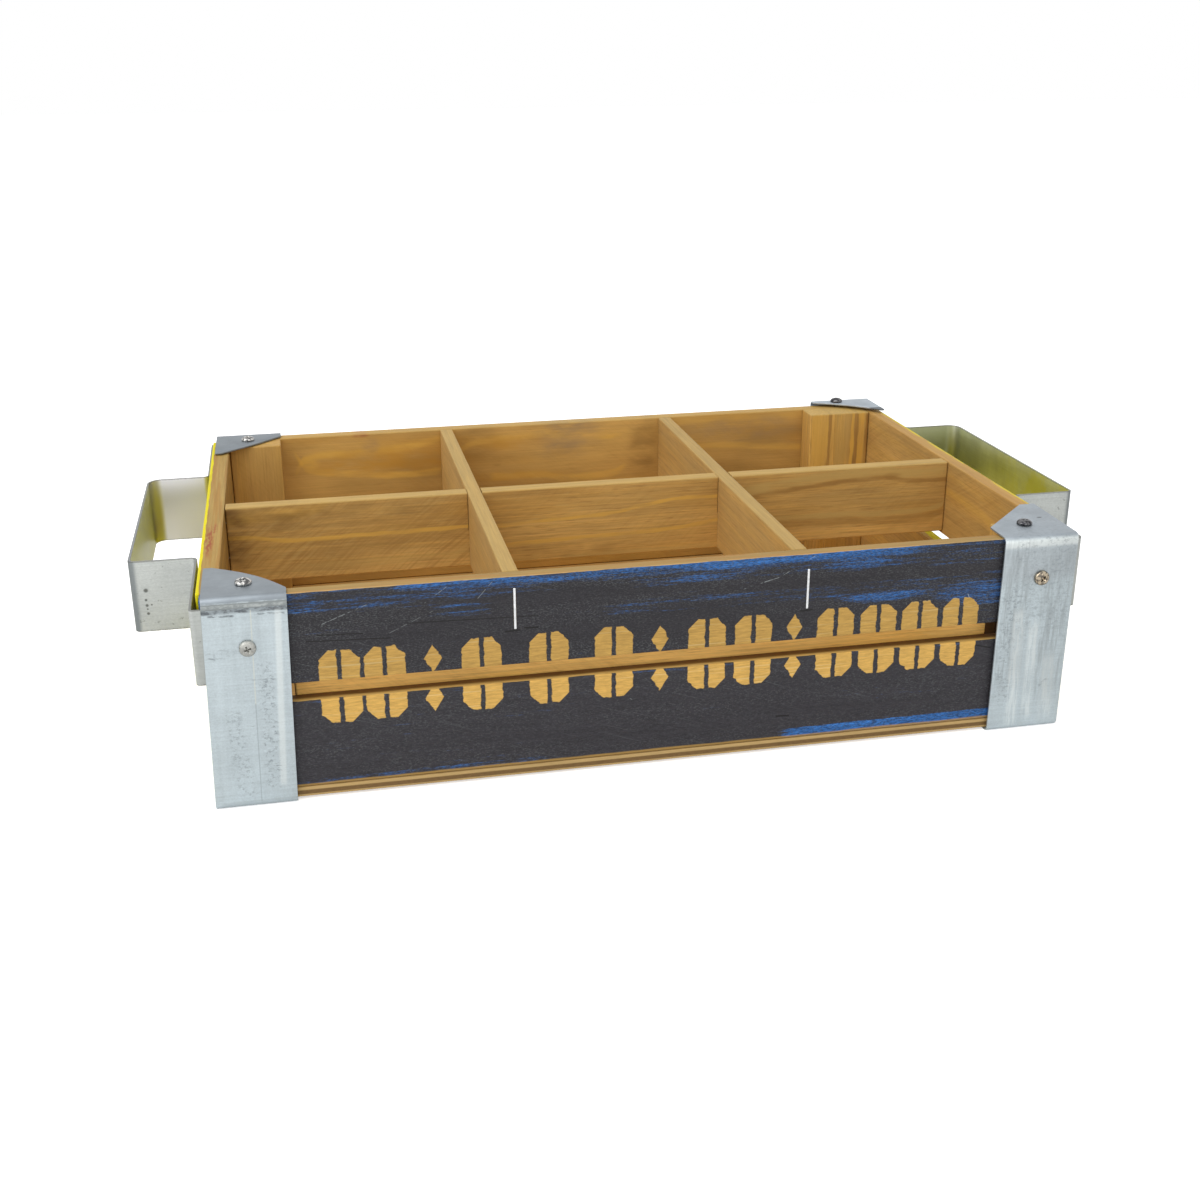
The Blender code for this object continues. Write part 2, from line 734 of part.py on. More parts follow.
def fit_panel_staples(parts):
    """Staples up through the panel into the edges of the lower slats."""
    inset = SLAT_THICKNESS * PANEL_STAPLE_INSET_SHARE
    down = (0, 0, -1)
    for side, sign in SIDES.items():
        for end, x in CROSS_DIVIDER_X.items():
            held = [parts["bottom_panel"], parts[f"{side}_lower_slat"]]
            place = (x, sign * (SIDE_FACE - inset), PANEL_BOTTOM)
            staple(f"{side}_{end}_panel_staple", place, down, (1, 0, 0), held)
    for end, sign in ENDS.items():
        held = [parts["bottom_panel"], parts[f"{end}_lower_slat"]]
        place = (sign * (END_FACE - inset), LONG_DIVIDER_Y, PANEL_BOTTOM)
        staple(f"{end}_panel_staple", place, down, (0, 1, 0), held)


def main():
    clear_scene()
    new_collection("Bar caddy")
    new_collection("Cutters")
    made = [bottom_panel(), long_divider()]
    made += [side_slat(side, level) for side in SIDES for level in SLAT_LEVELS]
    made += [end_slat(end, level) for end in ENDS for level in SLAT_LEVELS]
    made += [corner_post(side, end) for side, end in CORNERS]
    made += [ledger(side) for side in SIDES]
    made += [cross_divider(side) for side in CROSS_DIVIDER_X]
    made += [corner_bracket(side, end) for side, end in CORNERS]
    made += [handle(end) for end in ENDS]
    parts = {obj.name: obj for obj in made}
    fit_screws(parts)
    fit_divider_staples(parts)
    fit_post_staples(parts)
    fit_panel_staples(parts)


main()
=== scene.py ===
"""Bar caddy: the looks of a slatted crate with compartments, corner brackets and strap handles."""

import math

import bmesh
import bpy
from bpy.props import FloatProperty, FloatVectorProperty, PointerProperty
from mathutils import Matrix, Vector


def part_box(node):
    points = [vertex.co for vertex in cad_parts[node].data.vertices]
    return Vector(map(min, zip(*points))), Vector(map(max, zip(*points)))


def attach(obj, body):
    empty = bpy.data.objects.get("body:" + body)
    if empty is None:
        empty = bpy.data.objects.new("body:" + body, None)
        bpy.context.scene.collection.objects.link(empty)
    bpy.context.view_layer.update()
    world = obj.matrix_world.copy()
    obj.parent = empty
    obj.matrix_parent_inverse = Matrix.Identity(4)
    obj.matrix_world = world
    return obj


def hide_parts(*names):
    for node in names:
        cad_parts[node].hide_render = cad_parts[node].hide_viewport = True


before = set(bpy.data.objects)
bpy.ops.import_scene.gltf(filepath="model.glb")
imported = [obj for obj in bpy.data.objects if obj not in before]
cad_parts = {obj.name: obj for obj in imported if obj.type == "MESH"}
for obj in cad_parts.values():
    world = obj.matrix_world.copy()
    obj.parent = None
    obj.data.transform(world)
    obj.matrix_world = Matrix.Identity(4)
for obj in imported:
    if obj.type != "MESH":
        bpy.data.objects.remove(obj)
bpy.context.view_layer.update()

bl_info = {
    "name": "Bar caddy",
    "version": (1, 0, 0),
    "blender": (4, 5, 0),
    "location": "3D View > Sidebar > Bar caddy",
    "description": "Dresses the packed bar caddy and sets it on a pale floor",
    "category": "Object",
}

MM = 0.001
BODY = "root"
SIDES = {"front": -1, "back": 1}
ENDS = {"left": -1, "right": 1}
CORNERS = [(side, end) for side in SIDES for end in ENDS]


def lowest(node):
    return Vector(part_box(node)[0])


def highest(node):
    return Vector(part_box(node)[1])


def middle(node):
    return (lowest(node) + highest(node)) / 2


RIM = highest("front_upper_slat").z
END_FACE = highest("front_upper_slat").x
SIDE_FACE = highest("back_upper_slat").y
PLATE_FACE = highest("back_left_bracket").y

# Corner brackets, in millimetres: width, distance in from the end of the crate, lean of the foot, rise and
# lift of the flap, then the flap's outline as depth, nose, shoulder and bulge
BRACKETS = {
    "front_left": {
        "width": 37.1, "inset": 0.8, "lean": 2.6, "rise": 0.0, "lift": 0.0,
        "depth": 41.3, "nose": 4.0, "shoulder": 8.4, "bulge": 3.4,
    },
    "front_right": {
        "width": 38.5, "inset": 1.3, "lean": -0.4, "rise": 0.0, "lift": 0.8,
        "depth": 47.3, "nose": 8.0, "shoulder": 17.5, "bulge": 0.0,
    },
    "back_left": {
        "width": 38.0, "inset": 0.3, "lean": 0.0, "rise": 0.0, "lift": 0.4,
        "depth": 42.5, "nose": 4.0, "shoulder": 9.5, "bulge": 1.0,
    },
    "back_right": {
        "width": 38.5, "inset": 0.3, "lean": 0.0, "rise": 1.5, "lift": 0.0,
        "depth": 32.5, "nose": 2.0, "shoulder": 6.0, "bulge": -3.0,
    },
}
BRACKET_SEAT = 0.3
FOOT_DEPTH = 15.0

# Strap handles, in millimetres: how far the strap stands off the end of the crate before and behind the grip,
# then the reach, length and shift of the grip
HANDLES = {
    "left": {"front": 3.4, "back": 2.1, "reach": 36.0, "grip": 140.8, "shift": 0.6},
    "right": {"front": 0.4, "back": 0.4, "reach": 35.0, "grip": 147.0, "shift": 3.7},
}
STRAP_BENDS = {"corner": 1.6, "root": 3.0, "near": 2.5, "far": 7.0}
STRAP_FOOT_MIDDLE = 140.2
STRAP_FOOT_LENGTH = 32.0


# Sizes and colours


def colour_setting(name, description, colour):
    return FloatVectorProperty(name=name, description=description, subtype="COLOR", default=colour)


def length_setting(name, description, millimetres, **limits):
    default = millimetres * MM
    return FloatProperty(name=name, description=description, unit="LENGTH", default=default, **limits)


class WoodSettings(bpy.types.PropertyGroup):
    honey: colour_setting("Honey stain", "Body colour of the stained boards", (0.52, 0.312, 0.088))
    shade: colour_setting("Dark grain", "Colour of the darker bands and saw marks", (0.30, 0.158, 0.040))
    streak: colour_setting("Yellow grain", "Colour of the hard yellow grain lines", (0.68, 0.40, 0.075))
    bare: colour_setting("Bare edge", "Colour where the stain is rubbed off", (0.495, 0.330, 0.104))
    ply_light: colour_setting(
        "Light ply", "Colour of the outer plies of the bottom panel", (0.46, 0.31, 0.125),
    )
    ply_dark: colour_setting(
        "Dark ply", "Colour of the core ply of the bottom panel", (0.170, 0.098, 0.034),
    )
    ring: length_setting("Ring spacing", "Distance between two growth rings", 5.2, min=1 * MM)


class PaintSettings(bpy.types.PropertyGroup):
    charcoal: colour_setting("Charcoal", "Top coat of the front and back slats", (0.024, 0.022, 0.026))
    blue: colour_setting(
        "Blue", "Under coat that shows where the charcoal is rubbed through", (0.015, 0.086, 0.262),
    )
    scuff: colour_setting("Scuff", "Fine scratches in the charcoal", (0.15, 0.165, 0.165))
    yellow: colour_setting("Yellow", "Paint of the end slats", (0.74, 0.64, 0.012))
    stencil: colour_setting("Stencil wood", "Wood in the openings of the stencil", (0.61, 0.362, 0.086))
    stencil_width: length_setting("Stencil width", "Width of a stencilled block", 18.5, min=5 * MM)
    stencil_corner: length_setting(
        "Stencil corner", "How much is cut off the corners of a stencilled block", 4.5, min=0.0,
    )
    stencil_height: length_setting("Stencil height", "Height of a stencilled figure", 36, min=5 * MM)
    stencil_bridge: length_setting(
        "Stencil bridge", "Width of the bridge that holds the stencil together", 2.2, min=0.5 * MM,
    )
    stencil_level: length_setting(
        "Stencil level", "Height of the middle of the stencil above the ground", 55.8,
    )


class MetalSettings(bpy.types.PropertyGroup):
    zinc: colour_setting("Zinc", "Galvanised plates of the brackets", (0.50, 0.565, 0.59))
    # The flaps are darker than the plates: painted shade for their darker reflection, with duller zinc
    flap: colour_setting("Dull zinc", "Galvanised flaps on the rim", (0.30, 0.335, 0.365))
    strap: colour_setting("Strap", "Galvanised strap of the handles", (0.475, 0.495, 0.475))
    # Painted reflection: the yellowish inner skin stands for the yellow slats reflected in it
    skin: colour_setting("Strap inside", "Brighter inner skin of the handles", (0.60, 0.62, 0.42))
    screw: colour_setting("Screw", "Bright zinc of the screws", (0.62, 0.61, 0.585))
    brass: colour_setting("Brassy screw", "Yellow zinc of the right front plate screw", (0.50, 0.42, 0.31))
    wire: colour_setting("Staple wire", "Bright wire of the staples", (0.80, 0.81, 0.82))
    sheet: length_setting("Sheet thickness", "Thickness of the brackets", 1.0)
    sheet_bend: length_setting(
        "Sheet bend", "Radius of the folds of the brackets, at the middle of the sheet", 2.4,
    )
    strap_thickness: length_setting("Strap thickness", "Thickness of the handles", 1.2)
    cut_edge: length_setting("Cut edge", "Rounding of the cut edges of sheet and strap", 0.16)
    head_radius: length_setting("Screw head radius", "Radius of the pan heads", 3.8)
    head_height: length_setting("Screw head height", "Height of the pan heads", 2.2)
    wire_width: length_setting("Wire width", "Width of the staple wire", 1.2)


class StageSettings(bpy.types.PropertyGroup):
    lens: FloatProperty(
        name="Lens", description="Focal length in millimetres on a 36 mm sensor", default=44.24,
    )
    paper: colour_setting("Paper", "Floor and background", (0.90, 0.90, 0.90))
    sky: FloatProperty(
        name="Surround light", description="Strength of the even light from all round", default=0.74,
    )
    key: FloatProperty(
        name="Key light", description="Power of the large lamp above the front",
        subtype="POWER", default=9.0,
    )
    fill: FloatProperty(
        name="Fill light", description="Power of the large lamp in front", subtype="POWER", default=2.0,
    )
    overhead: FloatProperty(
        name="Overhead light", description="Power of the large lamp above the compartments",
        subtype="POWER", default=4.0,
    )


def wood():
    return bpy.context.scene.caddy_wood


def paint():
    return bpy.context.scene.caddy_paint


def metal():
    return bpy.context.scene.caddy_metal


def stage():
    return bpy.context.scene.caddy_stage


# Finishes


class Value:
    """A number or colour that nodes work out. Sums, products and shares of it make more nodes."""

    def __init__(self, nodes, socket):
        self.nodes = nodes
        self.socket = socket

    def __add__(self, other):
        return self.nodes.math("ADD", self, other)

    def __radd__(self, other):
        return self.nodes.math("ADD", other, self)

    def __sub__(self, other):
        return self.nodes.math("SUBTRACT", self, other)

    def __rsub__(self, other):
        return self.nodes.math("SUBTRACT", other, self)

    def __mul__(self, other):
        return self.nodes.math("MULTIPLY", self, other)

    def __truediv__(self, other):
        return self.nodes.math("DIVIDE", self, other)

    def __abs__(self):
        return self.nodes.math("ABSOLUTE", self)


class Nodes:
    """Adds and links the nodes of one material or world."""

    def __init__(self, owner):
        owner.use_nodes = True
        self.tree = owner.node_tree

    def add(self, kind, inputs=None, **settings):
        node = self.tree.nodes.new(kind)
        for key, value in settings.items():
            setattr(node, key, value)
        for key, value in (inputs or {}).items():
            if isinstance(value, Value):
                self.tree.links.new(value.socket, node.inputs[key])
            elif node.inputs[key].type == "RGBA":
                node.inputs[key].default_value = (*value[:3], 1.0)
            else:
                node.inputs[key].default_value = value
        return node

    def value(self, kind, inputs=None, output=0, **settings):
        return Value(self, self.add(kind, inputs, **settings).outputs[output])

    def math(self, operation, *values):
        return self.value("ShaderNodeMath", dict(enumerate(values)), operation=operation)

    def most(self, first, *others):
        for other in others:
            first = self.math("MAXIMUM", first, other)
        return first

    def seen_by(self, *rays):
        """1 for some kinds of rays and 0 for all others."""
        path = self.add("ShaderNodeLightPath")
        return self.most(*(Value(self, path.outputs[ray]) for ray in rays))


class Finish(Nodes):
    """A material, whose patterns lie in metres on the piece's own coordinates."""

    def __init__(self, name, roughness=0.6, metallic=0.0, specular=0.5):
        self.material = bpy.data.materials.new(name)
        super().__init__(self.material)
        self.shader = self.tree.nodes["Principled BSDF"]
        self.shader.inputs["Roughness"].default_value = roughness
        self.shader.inputs["Metallic"].default_value = metallic
        self.shader.inputs["Specular IOR Level"].default_value = specular
        self.place = self.value("ShaderNodeTexCoord", output="Object")
        split = self.add("ShaderNodeSeparateXYZ", {"Vector": self.place})
        self.x, self.y, self.z = (Value(self, socket) for socket in split.outputs)

    def fade(self, value, none, full):
        """Rises smoothly from 0 where the value is none to 1 where it is full."""
        limits = {"Value": value, "From Min": none, "From Max": full, "To Min": 0.0, "To Max": 1.0}
        return self.value("ShaderNodeMapRange", limits, interpolation_type="SMOOTHSTEP")

    def stripe(self, value, low, high, soft):
        """1 between two values, fading outwards over a soft edge."""
        off = abs(value - (low + high) / 2)
        half = (high - low) / 2
        return self.fade(off, half + soft, half)

    def spot(self, value, other, centre, radii, soft=0.5):
        """An elliptical patch in two coordinates, in millimetres, fading over a share of its radius."""
        u = (value - centre[0] * MM) / (radii[0] * MM)
        v = (other - centre[1] * MM) / (radii[1] * MM)
        off = self.math("SQRT", u * u + v * v)
        return self.fade(off, 1.0 + soft, 1.0 - soft)

    def line(self, value, other, start, end, half, soft):
        """A straight scratch between two points in two coordinates, in millimetres."""
        start, end = [v * MM for v in start], [v * MM for v in end]
        half, soft = half * MM, soft * MM
        du, dv = end[0] - start[0], end[1] - start[1]
        length = math.hypot(du, dv)
        u, v = value - start[0], other - start[1]
        along = u * (du / length) + v * (dv / length)
        beside = abs(v * (du / length) - u * (dv / length))
        inside = self.stripe(along, 0.0, length, 2 * soft + half)
        return inside * self.fade(beside, half + soft, half)

    def curve(self, value, points):
        """A smooth curve through points, each a place in millimetres and a plain level."""
        places, levels = [point[0] for point in points], [point[1] for point in points]
        low, rise = min(levels), max(levels) - min(levels) or 1.0
        span = places[-1] - places[0]
        node = self.add("ShaderNodeFloatCurve")
        curve = node.mapping.curves[0]
        shares = [((place - places[0]) / span, (level - low) / rise) for place, level in points]
        curve.points[0].location, curve.points[-1].location = shares[0], shares[-1]
        for share in shares[1:-1]:
            curve.points.new(*share)
        node.mapping.update()
        share = (value - places[0] * MM) * (1 / (span * MM))
        self.tree.links.new(share.socket, node.inputs["Value"])
        return Value(self, node.outputs[0]) * rise + low

    def vein(self, value, other, points, half, soft):
        """A smooth winding line through points in two coordinates, in millimetres."""
        off = abs(other - self.curve(value, points) * MM)
        ends = self.stripe(value, points[0][0] * MM, points[-1][0] * MM, 6 * MM)
        return ends * self.fade(off, (half + soft) * MM, half * MM)

    def noise(self, scales, detail=2.0, rough=0.5, shift=(0.0, 0.0, 0.0), vector=None):
        """Even noise, from about 0.25 to 0.75, with so many features a metre on all axes or on each."""
        if isinstance(scales, int):
            scales = (scales, scales, scales)
        mapped = {"Vector": vector or self.place, "Location": shift, "Scale": scales}
        place = self.value("ShaderNodeMapping", mapped)
        pattern = {"Vector": place, "Scale": 1.0, "Detail": detail, "Roughness": rough, "Distortion": 0.0}
        return self.value("ShaderNodeTexNoise", pattern)

    def mix(self, amount, first, second, blend="MIX"):
        parts = {0: amount, 6: first, 7: second}
        return self.value("ShaderNodeMix", parts, output=2, data_type="RGBA", blend_type=blend)

    def tint(self, colour, amount):
        """A colour made lighter or darker by a grey amount around 1."""
        grey = self.value("ShaderNodeCombineXYZ", {0: amount, 1: amount, 2: amount})
        return self.mix(1.0, colour, grey, blend="MULTIPLY")

    def finish(self, colour, height, depth, strength, roughness=None):
        """Links the colour, and the relief, whose height of 1 stands for depth in millimetres."""
        relief = {"Height": height, "Strength": strength, "Distance": depth * MM}
        bump = self.value("ShaderNodeBump", relief)
        found = {"Base Color": colour, "Normal": bump, "Roughness": roughness}
        for key, value in found.items():
            if value is not None:
                self.tree.links.new(value.socket, self.shader.inputs[key])
        return self.material


# Sawn wood


def board(axes, seed, pith, **look):
    """A board's look: its directions along, across and through, its seed, its pith and what is drawn on it.

    Places are in millimetres: the pith's across by through, those of veins, stains and painted shade along by
    across, and those of smears, which lie on the top edge, along by through.
    """
    return {"axes": axes, "seed": seed, "pith": pith, **look}


class Grain:
    """The colour and relief of one sawn board."""

    def __init__(self, finish, look):
        self.finish = finish
        self.look = look
        names = {"X": finish.x, "Y": finish.y, "Z": finish.z}
        self.along, self.across, self.through = (names[axis] for axis in look["axes"])
        seed = look["seed"]
        self.shift = (seed * 3.7, seed * 1.9, seed * 2.3)
        self.space = finish.value("ShaderNodeCombineXYZ", {0: self.along, 1: self.across, 2: self.through})

    def noise(self, along, across, through=None, detail=2.0, rough=0.5, turn=0.0):
        scales = (along, across, through or across)
        shift = tuple(step + turn for step in self.shift)
        return self.finish.noise(scales, detail, rough, shift, self.space)

    def ragged(self, along, across, width, turn, detail=3.0):
        """A wandering of so many millimetres around zero."""
        return (self.noise(along, across, detail=detail, turn=turn) - 0.5) * (width * MM)

    def rings(self):
        """0 in the soft wood of a growth ring, rising to 1 in its hard line."""
        f, look = self.finish, self.look
        pith, sway = look["pith"], 18 * MM
        drift = (self.noise(4.5, 14, detail=1.0) - 0.5) * sway
        wobble = (self.noise(9, 45, turn=5.0) - 0.5) * (sway * 0.35)
        across = self.across - pith[0] * MM + (drift + wobble)
        through = self.through - pith[1] * MM + drift * 0.8
        radius = f.math("SQRT", across * across + through * through)
        share = f.math("FRACT", radius * (1 / (wood().ring * look.get("spread", 1.0))))
        return f.fade(share, 0.35, 0.93) * f.fade(share, 1.0, 0.95)

    def colour(self):
        f, look = self.finish, self.look
        settings = wood()
        rings = self.rings()
        drift = self.noise(6, 30, turn=2.0)
        colour = f.mix(f.fade(drift, 0.32, 0.68), settings.honey, settings.shade)
        base = f.mix(look.get("dark", 0.35), settings.honey, colour)
        base = f.mix(rings * look.get("line", 0.42), base, settings.streak)
        cloud = f.fade(self.noise(16, 55, detail=3.0, turn=9.0), 0.28, 0.72)
        base = f.tint(base, 0.86 + cloud * 0.28)
        amber = f.fade(self.noise(9, 40, turn=31.0), 0.48, 0.70)
        base = f.mix(amber * look.get("amber", 0.35), base, self.drawn("amber"))
        fibre = self.noise(20, 760, detail=4.0, rough=0.75, turn=3.0)
        strand = look.get("fibre", 1.0)
        base = f.tint(base, 1.0 - 0.55 * strand + fibre * (1.1 * strand))
        pores = f.fade(self.noise(80, 1500, turn=6.0), 0.56, 0.72)
        base = f.mix(pores * (0.6 * strand), base, settings.shade)
        lint = f.fade(self.noise(120, 1300, turn=26.0), 0.58, 0.72)
        base = f.mix(lint * (0.4 * strand), base, settings.bare)
        height = fibre * 0.7 + rings * 0.25
        base, height = self.saw_marks(base, height)
        base = f.mix(look.get("wash", 0.0), base, (0.53, 0.365, 0.165))
        if "pale" in look:
            base = f.tint(base, look["pale"])
        # A low share lightens the board below 80 mm: painted light at the bottom of the bays
        if "low" in look:
            base = f.tint(base, 1.0 + f.fade(f.z, 80 * MM, 58 * MM) * look["low"])
        for points, half, soft, strength, kind in look.get("veins", ()):
            waver = self.ragged(70, 260, 2.4, half)
            mark = f.vein(self.along, self.across + waver, points, half, soft)
            patchy = 0.3 + f.fade(self.noise(34, 160, detail=3.0, turn=half), 0.28, 0.56) * 0.7
            mark = mark * strength * patchy
            base = f.mix(mark, base, self.drawn(kind))
        # Stains, and patches of painted shade
        for centre, radii, strength, kind in look.get("stains", ()):
            spot = f.spot(self.along, self.across, centre, radii)
            # Patches of painted shadow are solid; the others are ragged
            ragged = 1.0 if kind == "hole" else f.fade(self.noise(60, 160, detail=3.0, turn=7.0), 0.25, 0.7)
            base = f.mix(spot * strength * ragged, base, self.drawn(kind))
        return base, height

    def drawn(self, kind):
        settings = wood()
        return {
            "light": settings.bare,
            "yellow": settings.streak,
            "dark": settings.shade,
            # Deep brown serves dark stains and, where board_looks says so, painted shade in corners; the near
            # black kind after it is painted shadow in gaps
            "deep_brown": (0.10, 0.045, 0.012),
            "hole": (0.045, 0.020, 0.006),
            "amber": (0.50, 0.250, 0.032),
            "red": (0.30, 0.045, 0.035),
            "grey": (0.20, 0.16, 0.12),
        }[kind]

    def saw_marks(self, base, height):
        """Slanting marks of the saw across the broad faces."""
        f, look = self.finish, self.look
        slant = look.get("slant", 0.75)
        line = self.across + self.along * slant
        bent = line + self.noise(12, 30, detail=1.0, turn=4.0) * 0.012
        vector = f.value("ShaderNodeCombineXYZ", {0: bent, 1: self.along * 0.06})
        marks = f.noise((560, 420, 1), 3.0, 0.6, self.shift, vector)
        patches = 0.35 + f.fade(self.noise(14, 30, turn=8.0), 0.36, 0.62) * 0.65
        depth = look.get("saw", 0.35)
        if "saw_end" in look:
            end = look["saw_end"] * MM
            depth = (0.3 + f.fade(self.along, end + 8 * MM, end) * 0.7) * depth
        dark = f.fade(marks, 0.54, 0.34) * patches * depth * 0.62
        pale = f.fade(marks, 0.5, 0.68) * patches * depth * 0.5
        base = f.mix(dark, base, wood().shade)
        base = f.mix(pale, base, wood().bare)
        return base, height + marks * 0.8

    def bare_edges(self, base, amount):
        """Lighter wood on the top edge, where the stain is rubbed off."""
        f = self.finish
        ragged = self.ragged(30, 300, 1.6, 1.0)
        top = f.fade(f.z + ragged, RIM - 1.0 * MM, RIM - 0.2 * MM)
        streaks = self.noise(30, 800, detail=4.0, rough=0.7, turn=2.5)
        shade = self.look.get("arris", wood().bare)
        wear_and_dark_reflection = f.tint(shade, (0.5 + streaks) * self.look.get("edge", 1.0))
        brown = f.fade(self.noise(16, 620, detail=3.0, turn=41.0), 0.46, 0.58)
        wear_and_dark_reflection = f.mix(brown * self.look.get("brown", 0.0), wear_and_dark_reflection, (0.36, 0.15, 0.03))
        for centre, radii, strength, kind in self.look.get("smears", ()):
            spot = f.spot(self.along, self.through, centre, radii)
            ragged = f.fade(self.noise(130, 700, detail=3.0, turn=7.0), 0.42, 0.58)
            wear_and_dark_reflection = f.mix(spot * strength * ragged, wear_and_dark_reflection, self.drawn(kind))
        if "rim" in self.look:
            out = abs(f.y) + (streaks - 0.5) * (1.2 * MM)
            line = f.fade(out, SIDE_FACE - 1.5 * MM, SIDE_FACE - 0.7 * MM)
            wear_and_dark_reflection = f.mix(line * self.look["rim"], wear_and_dark_reflection, (0.62, 0.41, 0.16))
        return f.mix(top * amount, base, wear_and_dark_reflection)

    def joint_shade_top(self, base):
        """The top of the front lower slat: painted shade with dirt by the ledger,
        and a painted highlight on the bare outer arris.
        """
        f = self.finish
        level = highest("front_lower_slat").z
        top = f.fade(f.z, level - 0.9 * MM, level - 0.3 * MM)
        ragged = self.ragged(40, 500, 2.0, 17.0)
        out = abs(f.y) + ragged
        outer = f.fade(out, SIDE_FACE - 4.0 * MM, SIDE_FACE - 1.0 * MM)
        # Painted shade with dirt, dark brown, along the ledger; bare wood lightened by a tenth on the outer
        # arris as a painted highlight
        return f.mix(top * 0.9, base, f.mix(outer, (0.088, 0.038, 0.009), f.tint(wood().bare, 1.1)))


def honey_board(name, look):
    """A stained board, bare all round."""
    f = Finish(name, roughness=0.62, specular=0.28)
    grain = Grain(f, look)
    colour, height = grain.colour()
    colour = grain.bare_edges(colour, look.get("bare", 0.75))
    return f.finish(colour, height, depth=0.12, strength=0.7)


def painted_board(name, look, draw):
    """A stained board whose outer face is painted by a draw function."""
    f = Finish(name, roughness=0.6, specular=look.get("gloss", 0.3))
    grain = Grain(f, look)
    colour, height = grain.colour()
    colour = grain.bare_edges(colour, look.get("bare", 0.6))
    if "joint" in look:
        colour = grain.joint_shade_top(colour)
    colour, height = draw(f, grain, colour, height)
    return f.finish(colour, height, depth=0.12, strength=0.7)


BLOCKS = (-151.5, -131.0, -86.5, -55.0, -24.0, 21.5, 44.5, 86.0, 108.0, 129.5, 151.0)
LOZENGES = (-109.0, -1.5, 65.0)


def nearest(f, value, centres):
    """Distance to the nearest of some places, given in millimetres."""
    found = None
    for centre in centres:
        off = abs(value - centre * MM)
        found = off if found is None else f.math("MINIMUM", found, off)
    return found


def stencil(f):
    """The openings of the stencil: tall blocks with cut corners and a bridge, with lozenges between."""
    settings = paint()
    half, width = settings.stencil_height / 2, settings.stencil_width / 2
    shake = (f.noise(420) - 0.5) * (1.6 * MM)
    x, z = f.x + shake, f.z - settings.stencil_level + shake
    edge = 0.25 * MM
    tall, wide = abs(z), nearest(f, x, BLOCKS)
    bridge, slant = settings.stencil_bridge / 2, half + width - settings.stencil_corner
    block = (
        f.fade(wide, width + edge, width - edge)
        * f.fade(tall, half + edge, half - edge)
        * f.fade(wide + tall, slant + edge, slant - edge)
        * f.fade(wide, bridge - edge, bridge + edge)
    )
    lozenge, level, slope = 4.2 * MM, half * 0.55, 0.62
    beside = nearest(f, x, LOZENGES) + abs(tall - level) * slope
    return f.most(block, f.fade(beside, lozenge + edge, lozenge - edge))


def charcoal_coat(side, level):
    """Worn charcoal over blue on the outer face and ends of a front or back slat."""
    sign = SIDES[side]
    arris = lowest(f"{side}_{level}_slat").z

    def draw(f, grain, colour, height):
        settings = paint()
        out = f.y * sign
        ragged = grain.ragged(90, 420, 1.1, 11.0)
        face = f.fade(out + ragged, SIDE_FACE - 0.62 * MM, SIDE_FACE - 0.42 * MM)
        ends = f.fade(abs(f.x), END_FACE - 0.7 * MM, END_FACE - 0.4 * MM)
        coat = f.most(face, ends)

        fine = grain.noise(420, 1900, detail=3.0, rough=0.75, turn=19.0)
        streaks = grain.noise(16, 330, detail=4.0, rough=0.65, turn=13.0)
        broad = grain.noise(8, 70, detail=3.0, turn=15.0)
        lines = grain.noise(36, 820, detail=3.0, rough=0.7, turn=29.0)
        rubbed = fine * 0.2 + lines * 0.36 + streaks * 0.28 + broad * 0.16
        contrast = 4.2
        cover = blue_places(f, side, level) + (rubbed - 0.5) * contrast
        under = f.fade(cover, 0.32, 1.15) * 0.92
        tone = 0.12 + fine * 1.86
        charcoal = f.tint(settings.charcoal, tone * (0.7 + streaks * 0.6))
        charcoal = f.tint(charcoal, 1.12 if level == "lower" else 0.88)
        blue_coat = f.tint(settings.blue, 0.42 + f.fade(fine, 0.36, 0.64) * 1.15)
        if level == "lower":
            blue_coat = f.tint(blue_coat, 1.2)
        blue_coat = f.tint(blue_coat, 0.3 + streaks * 1.6)
        coated = f.mix(under, charcoal, blue_coat)

        specks = f.fade(grain.noise(980, 2000, rough=0.7, turn=21.0), 0.49, 0.68)
        wear = 0.42 if level == "upper" else 0.30
        zone = 0.35 + f.fade(broad, 0.35, 0.62) * 0.65
        coated = f.mix(specks * zone * wear, coated, settings.scuff)
        hair = f.x * 0.35 + f.z
        vector = f.value("ShaderNodeCombineXYZ", {0: hair, 1: f.x})
        hairs = f.fade(f.noise((2400, 26, 1), 1.0, 0.5, (sign, 0.0, 0.0), vector), 0.66, 0.76)
        coated = f.mix(hairs * 0.22, coated, settings.scuff)
        for start, end, strength in SCRATCHES.get((side, level), ()):
            mark = f.line(f.x, f.z, start, end, 0.06, 0.18)
            broken = f.fade(f.noise(420), 0.44, 0.56)
            coated = f.mix(mark * strength * 0.75 * broken, coated, (0.4, 0.44, 0.44))
        for start, end, half in SLITS.get((side, level), ()):
            mark = f.line(f.x, f.z, start, end, half, 0.2)
            coated = f.mix(mark * 0.9, coated, (0.008, 0.007, 0.007))
        if side == "front":
            pale_lines = f.fade(grain.noise(10, 640, turn=23.0), 0.60, 0.70)
            fibre = grain.noise(150, 1300, detail=4.0, rough=0.75, turn=3.0)
            bared = f.tint(settings.stencil, 0.28 + fibre * 1.4)
            bared = f.mix(pale_lines * 0.7, bared, (0.7, 0.5, 0.2))
            if level == "upper":
                bared = f.tint(bared, 0.78)
            coated = f.mix(stencil(f), coated, bared)
        if level == "lower":
            foot = f.z + grain.ragged(40, 300, 1.4, 27.0)
            rubbed_off = f.fade(foot, arris + 1.7 * MM, arris + 0.9 * MM)
            coated = f.mix(rubbed_off * 0.85, coated, f.tint(settings.stencil, 0.62))
        height = height * 0.8 + coat * 0.35
        return f.mix(coat, colour, coated), height

    return draw


